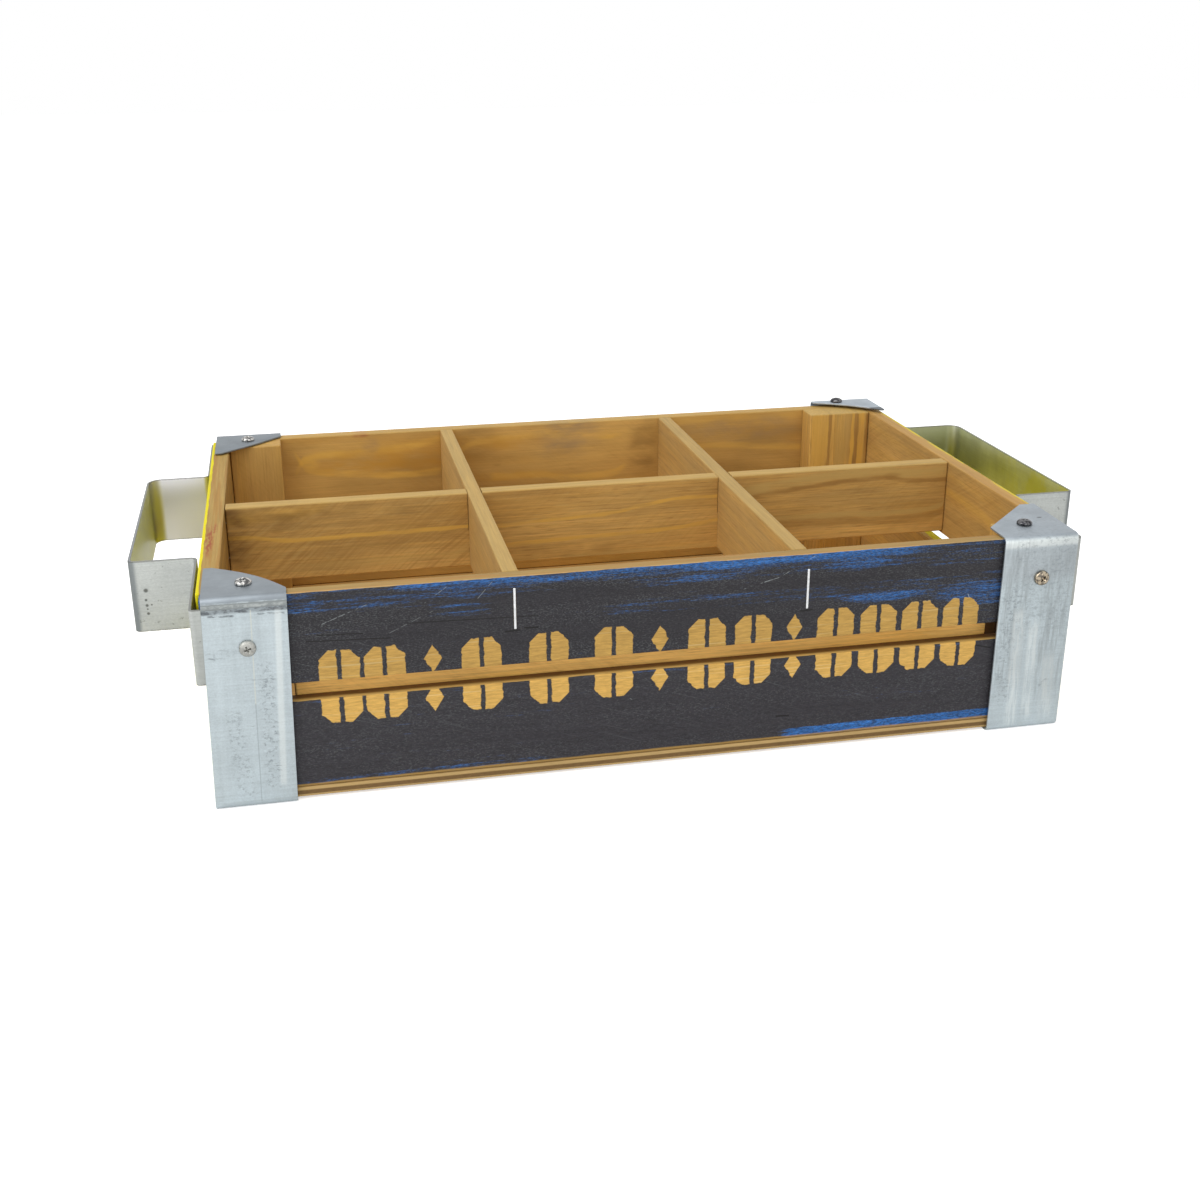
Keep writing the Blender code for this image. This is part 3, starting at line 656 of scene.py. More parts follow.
SCRATCHES = {
    ("front", "upper"): [
        ((-157.7, 86.9), (-127.7, 98.3), 0.55), ((-112.7, 92.3), (-101.6, 100.0), 0.5),
        ((-87.3, 93.5), (-78.7, 103.0), 0.45), ((29.8, 85.2), (56.7, 92.1), 0.6),
        ((56.7, 92.1), (73.6, 101.4), 0.65), ((37.1, 87.2), (51.8, 91.0), 0.4),
        ((154.0, 75.4), (155.6, 72.1), 0.9), ((-128.0, 80.0), (-108.0, 89.0), 0.3),
    ],
    ("front", "lower"): [((-16.0, 36.0), (-12.5, 34.2), 0.4), ((-14.0, 24.5), (-11.5, 23.0), 0.4)],
}
SLITS = {
    ("front", "lower"): [((57.9, 19.1), (64.0, 18.9), 0.35), ((160.4, 47.7), (168.7, 45.6), 0.25)],
    ("front", "upper"): [
        ((-165.0, 79.0), (-128.0, 77.6), 0.16), ((-66.0, 77.1), (-60.0, 76.8), 0.35),
        ((-120.0, 84.0), (-60.0, 82.6), 0.12), ((-75.0, 75.9), (-68.5, 76.2), 0.35),
        ((68.0, 73.9), (73.5, 74.1), 0.35), ((-160.0, 81.6), (-140.0, 80.9), 0.15),
    ],
}


def blue_places(f, side, level):
    """How far the blue shows through, from 0 to 1."""
    if side == "back":
        if level == "upper":
            return f.fade(f.z, RIM - 9 * MM, RIM - 3 * MM) * 0.8
        return f.fade(f.z, 12 * MM, 7 * MM) * 0.8
    if level == "lower":
        line = f.fade(f.z, 11.0 * MM, 9.4 * MM) * f.fade(f.x, -30 * MM, -70 * MM) * 0.47
        slope = f.z - f.x * 0.006
        stripe = f.fade(slope, 11.9 * MM, 10.3 * MM) * f.fade(f.x, 54 * MM, 72 * MM) * 1.7
        joint = f.fade(f.z, 46.0 * MM, 49.5 * MM) * 0.25
        return f.most(line, stripe, joint)
    edge = f.curve(f.x, [
        (-170, 0.55), (-152, 0.35), (-136, 0.35), (-120, 0.80), (-72, 0.95), (-40, 0.70), (-24, 0.80),
        (24, 1.00), (56, 1.20), (88, 1.35), (104, 1.15), (120, 0.95), (136, 0.70), (170, 0.50),
    ])
    top = edge * f.fade(f.z, 95.6 * MM, 101.2 * MM)
    tail = f.curve(f.x, [
        (-170, 0.2), (-136, 0.46), (-72, 0.44), (-40, 0.2), (-24, 0.2), (-8, 0.38), (120, 0.46), (170, 0.2),
    ])
    tail = tail * f.fade(f.z, 89.5 * MM, 95.0 * MM)
    found = f.most(top, tail)
    for place, radii, strength in (
        ((-169, 97.0), (16, 4.6), 0.66), ((-96, 88.6), (15, 3.2), 0.52), ((94, 96.6), (20, 4.5), 0.72),
        ((112, 78.2), (24, 2.8), 0.70), ((160, 76.0), (27, 6.0), 0.68),
    ):
        patch = f.spot(f.x, f.z, place, radii, 0.45)
        found = f.most(found, patch * strength)
    low = f.stripe(f.x, -16 * MM, 175 * MM, 20 * MM) * f.stripe(f.z, 80.5 * MM, 84.5 * MM, 4 * MM) * 0.38
    return f.most(found, low)


def yellow_coat(end, level):
    """Yellow on the outer face of an end slat, run over onto its outer edges."""
    sign = ENDS[end]
    node = f"{end}_{level}_slat"
    outer = max(abs(lowest(node).x), abs(highest(node).x))

    def draw(f, grain, colour, height):
        out = f.x * sign
        ragged = grain.ragged(70, 240, 1.6, 11.0)
        edge = out + ragged
        coat = f.fade(edge, outer - 1.65 * MM, outer - 1.35 * MM)
        if end == "right":
            wide, strength = (1.7, 0.60) if level == "upper" else (5.2, 0.90)
            gaps = f.fade(grain.noise(34, 90, detail=3.0, turn=12.0), 0.42, 0.54)
            run = f.fade(edge, outer - (wide + 0.3) * MM, outer - wide * MM)
            if level == "lower":
                gaps = 1.0
            coat = f.most(f.fade(edge, outer - 0.7 * MM, outer - 0.5 * MM), run * gaps * strength)
        streaks = grain.noise(10, 380, detail=3.0, turn=13.0)
        yellow = f.tint(paint().yellow, 0.82 + streaks * 0.34)
        thin = f.fade(grain.noise(20, 500, detail=3.0, turn=15.0), 0.64, 0.76)
        yellow = f.mix(thin * 0.3, yellow, colour)
        return f.mix(coat, colour, yellow), height + coat * 0.3

    return draw


def plywood():
    """Three plies: the outer ones along the panel and the darker core across it."""
    f = Finish("panel_ply", roughness=0.66, specular=0.25)
    look = board("XYZ", 40, (0.0, -60.0), saw=0.1, spread=2.2, wash=0.25, line=0.12, dark=0.12, pale=1.15)
    grain = Grain(f, look)
    colour, height = grain.colour()
    low = lowest("bottom_panel").z
    wave = grain.ragged(18, 60, 0.5, 0.0, detail=2.0)
    level = f.z + wave
    core = f.stripe(level, low + 1.5 * MM, low + 3.1 * MM, 0.25 * MM)
    glue = f.most(
        f.stripe(level, low + 1.30 * MM, low + 1.50 * MM, 0.15 * MM),
        f.stripe(level, low + 3.15 * MM, low + 3.35 * MM, 0.15 * MM),
    )
    edge = f.most(
        f.fade(abs(f.y), SIDE_FACE - 1.2 * MM, SIDE_FACE - 0.6 * MM),
        f.fade(abs(f.x), END_FACE - 1.2 * MM, END_FACE - 0.6 * MM),
    )
    light = f.tint(wood().ply_light, 0.72 + grain.noise(60, 900, detail=3.0, turn=2.0) * 0.55)
    dark = f.tint(wood().ply_dark, 0.62 + f.noise((700, 700, 2200), 2.0) * 0.75)
    plies = f.mix(f.most(core, glue * 0.8), light, dark)
    return f.finish(f.mix(edge, colour, plies), height, depth=0.12, strength=0.6)


# Metal


def zinc_sheet(corner):
    """Rolled galvanised sheet with the scribe lines and scuffs of one bracket, darker on the flap as painted
    shade with duller zinc, and with painted highlights and shadows where they are listed.
    """
    settings = metal()
    sizes, look = BRACKETS[corner], ZINC_LOOKS[corner]
    f = Finish(f"zinc_{corner}", roughness=0.46, metallic=0.85)
    seed = float(sorted(BRACKETS).index(corner) * 7)
    rolled = f.noise((40, 40, 1100), 4.0, 0.75, (seed, 0.0, 0.0))
    short = f.noise((190, 190, 1500), 2.0, 0.6, (0.0, seed, 0.0))
    cloud = f.noise((60, 60, 34), 4.0, 0.65, (seed, seed, 0.0))
    upright = f.noise((260, 260, 7), 3.0, 0.6, (seed, 0.0, seed))
    grit = f.noise(1300, 2.0, 0.6, (seed, 0.0, 0.0))
    tone = 0.385 + rolled * 0.36 + cloud * 0.32 + upright * 0.22 + grit * 0.3
    plate = f.tint(settings.zinc, tone)
    # Painted shade: the flap's darker colour stands for its darker reflection, with duller zinc
    dull = f.tint(settings.flap, 0.7 + f.noise(70, 4.0, 0.65) * 0.6)
    dull = f.tint(dull, look["dull"])
    fold = RIM + (BRACKET_SEAT + sizes["rise"]) * MM + settings.sheet
    ragged = (short - 0.5) * (1.2 * MM)
    top = f.fade(f.z + ragged, fold - look["fold"][0] * MM, fold - look["fold"][1] * MM)
    colour = f.mix(top, plate, dull)
    nicks = f.fade(short, 0.66, 0.74) * f.fade(cloud, 0.46, 0.58) * (1.0 - top)
    colour = f.mix(nicks * 0.5, colour, (0.16, 0.18, 0.19))
    # Painted shadow: the front edge of the back right flap is darkened for the shade under it, where it is
    # lifted
    if corner == "back_right":
        front = middle("back_right_bracket").y - 12 * MM
        mark = f.fade(f.y, front + 2.6 * MM, front + 0.6 * MM)
        colour = f.mix(mark * 0.8, colour, (0.09, 0.10, 0.11))
    for kind, first, second, half, soft, strength, shade in ZINC_MARKS.get(corner, ()):
        if kind == "dent":
            mark = f.spot(f.x, f.y, first, second)
        else:
            mark = f.line(f.x, f.z, first, second, half, soft)
        if kind in BROKEN_MARKS:
            scales, detail, rough, turn, none, full = BROKEN_MARKS[kind]
            mark = mark * f.fade(f.noise(scales, detail, rough, (seed, turn, 0.0)), none, full)
        colour = f.mix(mark * strength, colour, shade)
    rough = 0.38 + cloud * 0.22
    return f.finish(colour, rolled * 0.6 + cloud * 1.2, depth=0.05, strength=0.5, roughness=rough)


PIT = (0.15, 0.15, 0.13)
NEAR_WALL_GREY = (0.15, 0.16, 0.14)
CUT_EDGE = (0.13, 0.13, 0.12)
DARK = (0.10, 0.11, 0.12)
MID = (0.25, 0.28, 0.30)
GREY = (0.30, 0.33, 0.34)
PALE = (0.78, 0.82, 0.80)
WARM = (0.62, 0.63, 0.55)
# Marks that aren't whole: scales, detail, roughness and turn of their noise, and where it fades in
BROKEN_MARKS = {
    "smear": ((260, 260, 500), 3.0, 0.6, 1.0, 0.40, 0.62),
    "brush": ((620, 620, 60), 4.0, 0.7, 2.0, 0.36, 0.64),
    "ticks": ((560, 560, 900), 3.0, 0.7, 3.0, 0.50, 0.66),
}
# The tint of a flap's darker colour, which is painted shade with duller zinc, and how far below its top
# that colour begins and is full
ZINC_LOOKS = {
    "front_left": {"dull": 0.90, "fold": (2.7, 2.1)},
    "front_right": {"dull": 1.18, "fold": (1.7, 0.3)},
    "back_left": {"dull": 0.80, "fold": (1.7, 0.5)},
    "back_right": {"dull": 1.42, "fold": (1.7, 0.5)},
}
# Marks in millimetres: kind, the two ends of a line or a dent's place and radii, half width, soft edge,
# strength and colour
ZINC_MARKS = {
    "front_left": [
        # Painted highlight and shade of a fold wider than the modelled one, from z 97 to 101.5
        ("smear", (-209.0, 101.3), (-172.0, 101.5), 0.35, 0.5, 0.75, MID),
        ("line", (-209.0, 99.7), (-172.0, 99.7), 1.1, 0.5, 0.85, (0.225, 0.242, 0.238)),
        ("smear", (-209.0, 99.7), (-172.0, 99.3), 0.4, 0.8, 0.30, PALE),
        ("line", (-209.0, 97.5), (-171.5, 97.5), 0.3, 1.5, 0.50, DARK),
        ("smear", (-209.0, 97.4), (-171.5, 97.4), 0.5, 1.0, 0.85, DARK),
        ("smear", (-206.5, 95.6), (-196.0, 95.2), 0.3, 0.4, 0.75, DARK),
        ("smear", (-186.0, 95.4), (-174.0, 95.0), 0.3, 0.4, 0.60, DARK),
        ("line", (-188.1, 97.0), (-189.6, 52.0), 0.15, 0.25, 0.55, WARM),
        ("line", (-189.6, 52.0), (-191.0, 3.0), 0.10, 0.25, 0.45, MID),
        # Painted highlight: a pale stripe down the plate near its inner edge
        ("line", (-176.4, 95.0), (-180.4, 12.0), 0.7, 1.4, 0.42, PALE),
        ("line", (-207.0, 2.2), (-172.0, 2.2), 1.1, 0.6, 0.30, (0.33, 0.37, 0.38)),
        ("ticks", (-184.0, 68.0), (-184.5, 12.0), 2.2, 2.4, 0.75, MID),
        ("ticks", (-200.0, 44.0), (-197.0, 10.0), 2.0, 4.0, 0.6, MID),
        ("ticks", (-206.5, 77.0), (-196.5, 78.0), 1.6, 1.6, 0.4, MID),
        ("line", (-207.6, 75.8), (-205.6, 75.2), 0.15, 0.45, 0.45, DARK),
        ("line", (-203.0, 79.4), (-199.0, 78.8), 0.05, 0.30, 0.35, MID),
        ("smear", (-193.0, 64.0), (-180.0, 63.4), 0.2, 0.4, 0.5, MID),
    ],
    "front_right": [
        # Painted highlight along the fold
        ("line", (171.5, 100.3), (208.5, 100.3), 1.0, 2.0, 0.75, PALE),
        ("line", (171.5, 90.0), (208.5, 90.0), 5.0, 7.0, 0.40, (0.36, 0.38, 0.40)),
        ("brush", (178.0, 92.0), (178.0, 36.0), 5.0, 6.0, 0.62, GREY),
        ("brush", (200.0, 88.0), (200.0, 26.0), 5.0, 6.0, 0.56, GREY),
        ("ticks", (176.0, 72.0), (176.5, 20.0), 3.0, 3.0, 0.60, MID),
        ("ticks", (192.0, 98.0), (192.0, 62.0), 14.0, 4.0, 0.45, MID),
        ("brush", (181.5, 62.0), (182.0, 6.0), 1.6, 2.6, 0.50, PALE),
        ("brush", (190.0, 56.0), (190.5, 10.0), 1.4, 2.6, 0.45, PALE),
        ("brush", (200.0, 36.0), (200.5, 10.0), 2.0, 3.0, 0.40, PALE),
        ("smear", (196.5, 24.0), (199.5, 26.0), 0.6, 0.5, 0.6, MID),
        ("dent", (200.9, -115.8), (1.3, 0.7), 0.0, 0.0, 0.85, (0.05, 0.05, 0.05)),
    ],
}


def strap_metal(end):
    """Galvanised strap: scuffed and pitted outside, with dark cut edges, darker where it lies close along the
    crate.

    Its inner skin is brighter and yellowish, a painted reflection of the yellow slats, and it carries further
    painted reflections, highlights and shade at its bends and legs.
    """
    settings, sizes = metal(), HANDLES[end]
    f = Finish(f"strap_{end}", roughness=0.42, metallic=0.95)
    seed = 3.0 if end == "left" else 8.0
    rolled = f.noise((30, 30, 1300), 4.0, 0.7, (seed, 0.0, 0.0))
    cloud = f.noise((75, 75, 60), 4.0, 0.65, (0.0, seed, 0.0))
    grit = f.noise((900, 900, 1500), 2.0, 0.6, (seed, seed, 0.0))
    tone = 0.43 + (rolled * 0.36 + cloud * 0.42)
    colour = f.tint(settings.strap, tone + grit * 0.36)
    pits = f.fade(f.noise(420, 2.0, 0.6, (seed, seed, 0.0)), 0.67, 0.74)
    colour = f.mix(pits * 0.45, colour, PIT)

    half_thick = settings.strap_thickness / 2
    grip = END_FACE + sizes["reach"] * MM - half_thick
    half = sizes["grip"] / 2 * MM - half_thick
    out = abs(f.x)
    inner = 1.0
    for bend, sign in (("near", -1.0), ("far", 1.0)):
        radius = STRAP_BENDS[bend] * MM
        beyond = (f.y - sizes["shift"] * MM) * sign
        u = f.most(out - (grip - radius), 0.0)
        v = f.most(beyond - (half - radius), 0.0)
        reach = f.math("SQRT", u * u + v * v)
        inner = f.fade(reach, radius, radius - 0.1 * MM) * inner
    inner = inner * f.fade(out, END_FACE + 0.1 * MM, END_FACE + 3.0 * MM)
    # Painted reflection: the inner skin takes the yellowish colour of the slats that it faces, darker on the
    # left handle
    skin = f.tint(settings.skin, 0.6 + (rolled * 0.28 + cloud * 0.52))
    if end == "left":
        skin = f.tint(skin, 0.76)
    colour = f.mix(inner, colour, skin)

    start = (sizes["shift"] - sizes["grip"] / 2) * MM
    far = start + sizes["grip"] * MM
    # Painted shade on the outside of the near bend
    bent = f.fade(out, grip - 3.6 * MM, grip - 1.2 * MM)
    bent = bent * f.fade(f.y, start + 3.2 * MM, start + 1.6 * MM) * (1.0 - inner)
    colour = f.mix(bent * 0.85, colour, (0.18, 0.2, 0.205))
    # Darker where the strap lies close along the end of the crate
    foot = f.fade(out, END_FACE + 4.0 * MM, END_FACE + 2.0 * MM) * (0.4 + grit * 0.6)
    colour = f.mix(foot * 0.3, colour, NEAR_WALL_GREY)
    # Painted reflection on the inside of the far leg: pale grey on the left handle, dark olive on the right
    leg = f.fade(f.y, far - 12 * MM, far - 3 * MM)
    colour = f.mix(leg * inner * 0.85, colour, (0.68, 0.67, 0.72) if end == "left" else (0.25, 0.26, 0.14))
    if end == "right":
        # Painted reflection: yellow patches of the yellow slat on the inside of the right grip
        yellow_reflection = f.fade(f.noise(42, 3.0, 0.6, (2.0, 5.0, 0.0)), 0.44, 0.60)
        yellow_reflection = yellow_reflection * f.fade(f.y, 30 * MM, -30 * MM) * f.fade(out, grip - 8 * MM, grip - 5 * MM)
        colour = f.mix(yellow_reflection * inner * 0.55, colour, (0.62, 0.6, 0.06))
        gleam = f.stripe(f.y, far - 9 * MM, far - 4 * MM, 2 * MM)
        colour = f.mix(gleam * inner * 0.4, colour, (0.62, 0.64, 0.56))
    else:
        # Painted reflection: a pale blue reflection of the sky on the inside of the left grip
        sky_reflection = f.fade(f.y, far - 25 * MM, far - 80 * MM)
        colour = f.mix(sky_reflection * inner * 0.7, colour, (0.54, 0.6, 0.9))
        dim = f.stripe(f.y, far - 10 * MM, far - 1 * MM, 3 * MM)
        dim = dim * f.fade(out, grip - 7 * MM, grip - 4 * MM)
        colour = f.mix(dim * inner * 0.45, colour, (0.2, 0.19, 0.1))
        for x, z, radius in (
            (-238.9, 83.8, 1.0), (-239.3, 78.9, 0.6), (-239.1, 76.1, 0.7), (-236.9, 76.3, 0.4),
            (-239.0, 74.2, 0.4), (-238.9, 71.9, 0.7),
        ):
            near = f.fade(f.y, -64 * MM, -67 * MM)
            spot = f.spot(f.x, f.z, (x, z), (radius, radius), 0.5)
            colour = f.mix(spot * near * 0.8, colour, (0.06, 0.06, 0.05))
    low, high = lowest(f"{end}_handle").z, highest(f"{end}_handle").z
    level = f.z + (grit - 0.5) * MM
    edge = f.most(
        f.fade(level, low + 0.9 * MM, low + 0.1 * MM), f.fade(level, high - 0.7 * MM, high - 0.1 * MM),
    )
    colour = f.mix(edge * 0.6, colour, CUT_EDGE)
    rough = 0.36 + cloud * 0.16 - inner * 0.06
    return f.finish(colour, rolled * 0.5 + cloud * 1.4, depth=0.05, strength=0.4, roughness=rough)


def bright_metal(name, colour, roughness, dark=0.0):
    """Plated metal with faint soiling, and dark patches that are painted dark reflections."""
    f = Finish(name, roughness=roughness, metallic=1.0)
    cloud = f.noise(700)
    shade = f.tint(colour, 0.72 + cloud * 0.56)
    if dark:
        # Painted dark reflection: dark patches on the heads, as strong as the dark share asks
        wear_and_dark_reflection = f.fade(f.noise(620, 2.0, 0.6, (4.0, 1.0, 0.0)), 0.54, 0.42)
        shade = f.mix(wear_and_dark_reflection * dark, shade, (0.035, 0.035, 0.04))
    return f.finish(shade, cloud, depth=0.03, strength=0.4)


# Modelling steps


def leave_all():
    """Object mode, with nothing selected."""
    if bpy.context.object is not None and bpy.context.object.mode != "OBJECT":
        bpy.ops.object.mode_set(mode="OBJECT")
    bpy.ops.object.select_all(action="DESELECT")


def pick(piece):
    leave_all()
    piece.select_set(True)
    bpy.context.view_layer.objects.active = piece


def pick_elements(kind, test):
    """Selects only the edges or faces, in edit mode, that pass a test."""
    bpy.ops.mesh.select_all(action="DESELECT")
    bpy.ops.mesh.select_mode(type=kind)
    form = bmesh.from_edit_mesh(bpy.context.object.data)
    for element in form.edges if kind == "EDGE" else form.faces:
        if test(element):
            element.select_set(True)
    bmesh.update_edit_mesh(bpy.context.object.data)


def pick_edges(test):
    """Selects only the edges, in edit mode, whose two ends pass a test of place."""
    pick_elements("EDGE", lambda edge: all(test(vert.co) for vert in edge.verts))


def pick_faces(test):
    """Selects only the faces, in edit mode, whose middle and normal pass a test."""
    pick_elements("FACE", lambda face: test(face.calc_center_median(), face.normal))


def extrude(vector):
    bpy.ops.mesh.extrude_region_move(TRANSFORM_OT_translate={"value": tuple(vector)})


def apply_place(piece):
    pick(piece)
    bpy.ops.object.transform_apply(location=True, rotation=True, scale=True)


def modify(piece, kind, **settings):
    """Adds a modifier to a piece and applies it."""
    modifier = piece.modifiers.new(kind.title(), kind)
    for key, value in settings.items():
        setattr(modifier, key, value)
    pick(piece)
    bpy.ops.object.modifier_apply(modifier=modifier.name)


def keep(piece, name, material, node):
    """Names a finished piece and sets it in the place of its CAD node."""
    piece.name = name
    piece.data.name = name
    piece.data.materials.clear()
    piece.data.materials.append(material)
    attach(piece, BODY)
    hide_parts(node)
    leave_all()
    return piece


def draw_path(corners, radii, place):
    """Straight runs and turns of a path with rounded corners, in steps that edit mode can follow."""
    corners = [Vector(corner) for corner in corners]
    at = corners[0]
    moves = []
    for before, corner, after, radius in zip(corners, corners[1:], corners[2:], radii):
        back, ahead = (before - corner).normalized(), (after - corner).normalized()
        half_angle = back.angle(ahead) / 2
        reach = radius / math.tan(half_angle)
        centre = corner + (back + ahead).normalized() * (radius / math.sin(half_angle))
        start, end = corner + back * reach, corner + ahead * reach
        moves.append(("run", place(start) - place(at)))
        arms = place(start) - place(centre), place(end) - place(centre)
        moves.append(("turn", place(centre), arms[0].cross(arms[1]).normalized(), arms[0].angle(arms[1])))
        at = end
    moves.append(("run", place(corners[-1]) - place(at)))
    return moves


def fold_strip(start, width, moves, steps):
    """A strip of sheet: its first straight run is a plane, and the rest is extruded and spun from its edge.

    start is the middle of the first edge and width the vector across the strip.
    """
    run = moves[0][1]
    leave_all()
    bpy.ops.mesh.primitive_plane_add(size=1.0, location=start + run / 2)
    piece = bpy.context.object
    turned = Matrix((run.normalized(), width.normalized(), run.cross(width).normalized())).transposed()
    piece.rotation_euler = turned.to_euler()
    piece.scale = (run.length, width.length, 1.0)
    apply_place(piece)
    bpy.ops.object.mode_set(mode="EDIT")
    lead = start + run
    pick_edges(lambda co: abs((co - lead).dot(run.normalized())) < 0.01 * MM)
    for move in moves[1:]:
        if move[0] == "turn":
            _, centre, axis, angle = move
            bpy.ops.mesh.spin(steps=steps, angle=-angle, center=centre, axis=axis)
        elif move[1].length > 0.01 * MM:
            extrude(move[1])
    bpy.ops.mesh.select_all(action="SELECT")
    bpy.ops.mesh.remove_doubles(threshold=0.005 * MM)
    bpy.ops.mesh.normals_make_consistent(inside=False)
    bpy.ops.object.mode_set(mode="OBJECT")
    return piece


def thicken(piece, thickness):
    modify(piece, "SOLIDIFY", thickness=thickness, offset=0.0, use_even_offset=True)


def round_edges(piece, width, segments=2, angle=50):
    limit = math.radians(angle)
    modify(piece, "BEVEL", width=width, segments=segments, limit_method="ANGLE", angle_limit=limit)
    bpy.ops.object.shade_smooth_by_angle(angle=math.radians(40))


def prism(outline, low, high):
    """An upright cutter on a flat outline."""
    leave_all()
    bpy.ops.mesh.primitive_circle_add(vertices=len(outline), radius=1.0, fill_type="NGON")
    cutter = bpy.context.object
    for vert, (x, y) in zip(cutter.data.vertices, outline):
        vert.co = (x, y, low)
    bpy.ops.object.mode_set(mode="EDIT")
    bpy.ops.mesh.select_all(action="SELECT")
    extrude((0.0, 0.0, high - low))
    bpy.ops.mesh.select_all(action="SELECT")
    bpy.ops.mesh.normals_make_consistent(inside=False)
    bpy.ops.object.mode_set(mode="OBJECT")
    apply_place(cutter)
    return cutter


def cut_away(piece, cutter):
    modify(piece, "BOOLEAN", operation="DIFFERENCE", solver="EXACT", object=cutter)
    bpy.data.objects.remove(cutter, do_unlink=True)


# Brackets and handles


def flap_level(corner, back):
    """The level of the top of a flap at a distance back from the plate, in millimetres."""
    sizes = BRACKETS[corner]
    top = RIM / MM + BRACKET_SEAT + metal().sheet / MM
    return top + sizes["rise"] + sizes["lift"] * back / sizes["depth"]


def flap_trimming(corner):
    """The outline, in millimetres from the corner, of what is trimmed off a flap."""
    sizes = BRACKETS[corner]
    inner = sizes["inset"] + sizes["width"]
    nose = Vector((sizes["inset"] + sizes["nose"], sizes["depth"]))
    shoulder = Vector((inner, sizes["shoulder"]))
    chord = shoulder - nose
    swell = Vector((-chord.y, chord.x)).normalized() * sizes["bulge"]
    steps = 14
    shares = [step / steps for step in range(steps + 1)]
    edge = [tuple(nose + chord * share + swell * math.sin(math.pi * share)) for share in shares]
    far, before, beside = sizes["depth"] + 4.0, -2.0, inner + 2.0
    return [(before, sizes["depth"]), *edge, (beside, shoulder.y), (beside, far), (before, far)]


def make_bracket(side, end):
    along, across = SIDES[side], ENDS[end]
    corner = f"{side}_{end}"
    sizes, settings = BRACKETS[corner], metal()
    half = settings.sheet / MM / 2
    face = PLATE_FACE / MM
    plate, reach = face - half, sizes["depth"] + 2.0
    middle_x = across * (END_FACE / MM - sizes["inset"] - sizes["width"] / 2)
    foot = lowest(f"{corner}_bracket").z / MM + half

    def place(point):
        return Vector((middle_x, along * point.x, point.y)) * MM

    corners = [
        (face - reach, flap_level(corner, reach) - half),
        (plate, flap_level(corner, 0.0) - half),
        (plate, foot),
        (face - FOOT_DEPTH, foot),
    ]
    bend = settings.sheet_bend / MM
    moves = draw_path(corners, [bend, bend], place)
    width = Vector((sizes["width"] * MM, 0.0, 0.0))
    piece = fold_strip(place(Vector(corners[0])), width, moves, 8)
    bpy.ops.object.mode_set(mode="EDIT")
    pick_edges(lambda co: co.z < (foot + bend + 0.01) * MM)
    bpy.ops.transform.translate(value=(across * sizes["lean"] * MM, 0.0, 0.0))
    bpy.ops.object.mode_set(mode="OBJECT")
    thicken(piece, settings.sheet)
    outline = [
        (across * (END_FACE - x * MM), along * (PLATE_FACE - y * MM)) for x, y in flap_trimming(corner)
    ]
    cut_away(piece, prism(outline, RIM - 2 * MM, RIM + 8 * MM))
    round_edges(piece, settings.cut_edge)
    name, finish = f"{corner}_corner_bracket", zinc_sheet(corner)
    return keep(piece, name, finish, f"{corner}_bracket")


def make_handle(end):
    sign = ENDS[end]
    sizes, settings = HANDLES[end], metal()
    thick = settings.strap_thickness / MM
    wall = END_FACE / MM
    low, high = lowest(f"{end}_handle").z, highest(f"{end}_handle").z
    front_run, back_run = (wall + sizes[part] + thick / 2 for part in ("front", "back"))
    grip = wall + sizes["reach"] - thick / 2
    half = (sizes["grip"] - thick) / 2
    near, far = sizes["shift"] - half, sizes["shift"] + half
    foot = wall - STRAP_FOOT_LENGTH
    corners = [
        (foot, -STRAP_FOOT_MIDDLE), (front_run, -STRAP_FOOT_MIDDLE), (front_run, near), (grip, near),
        (grip, far), (back_run, far), (back_run, STRAP_FOOT_MIDDLE), (foot, STRAP_FOOT_MIDDLE),
    ]
    radii = [STRAP_BENDS[bend] for bend in ("corner", "root", "near", "far", "root", "corner")]

    def place(point):
        return Vector((sign * point.x * MM, point.y * MM, (low + high) / 2))

    moves = draw_path(corners, radii, place)
    piece = fold_strip(place(Vector(corners[0])), Vector((0.0, 0.0, high - low)), moves, 8)
    thicken(piece, settings.strap_thickness)
    round_edges(piece, settings.cut_edge)
    return keep(piece, f"{end}_strap_handle", strap_metal(end), f"{end}_handle")


# Screws and staples


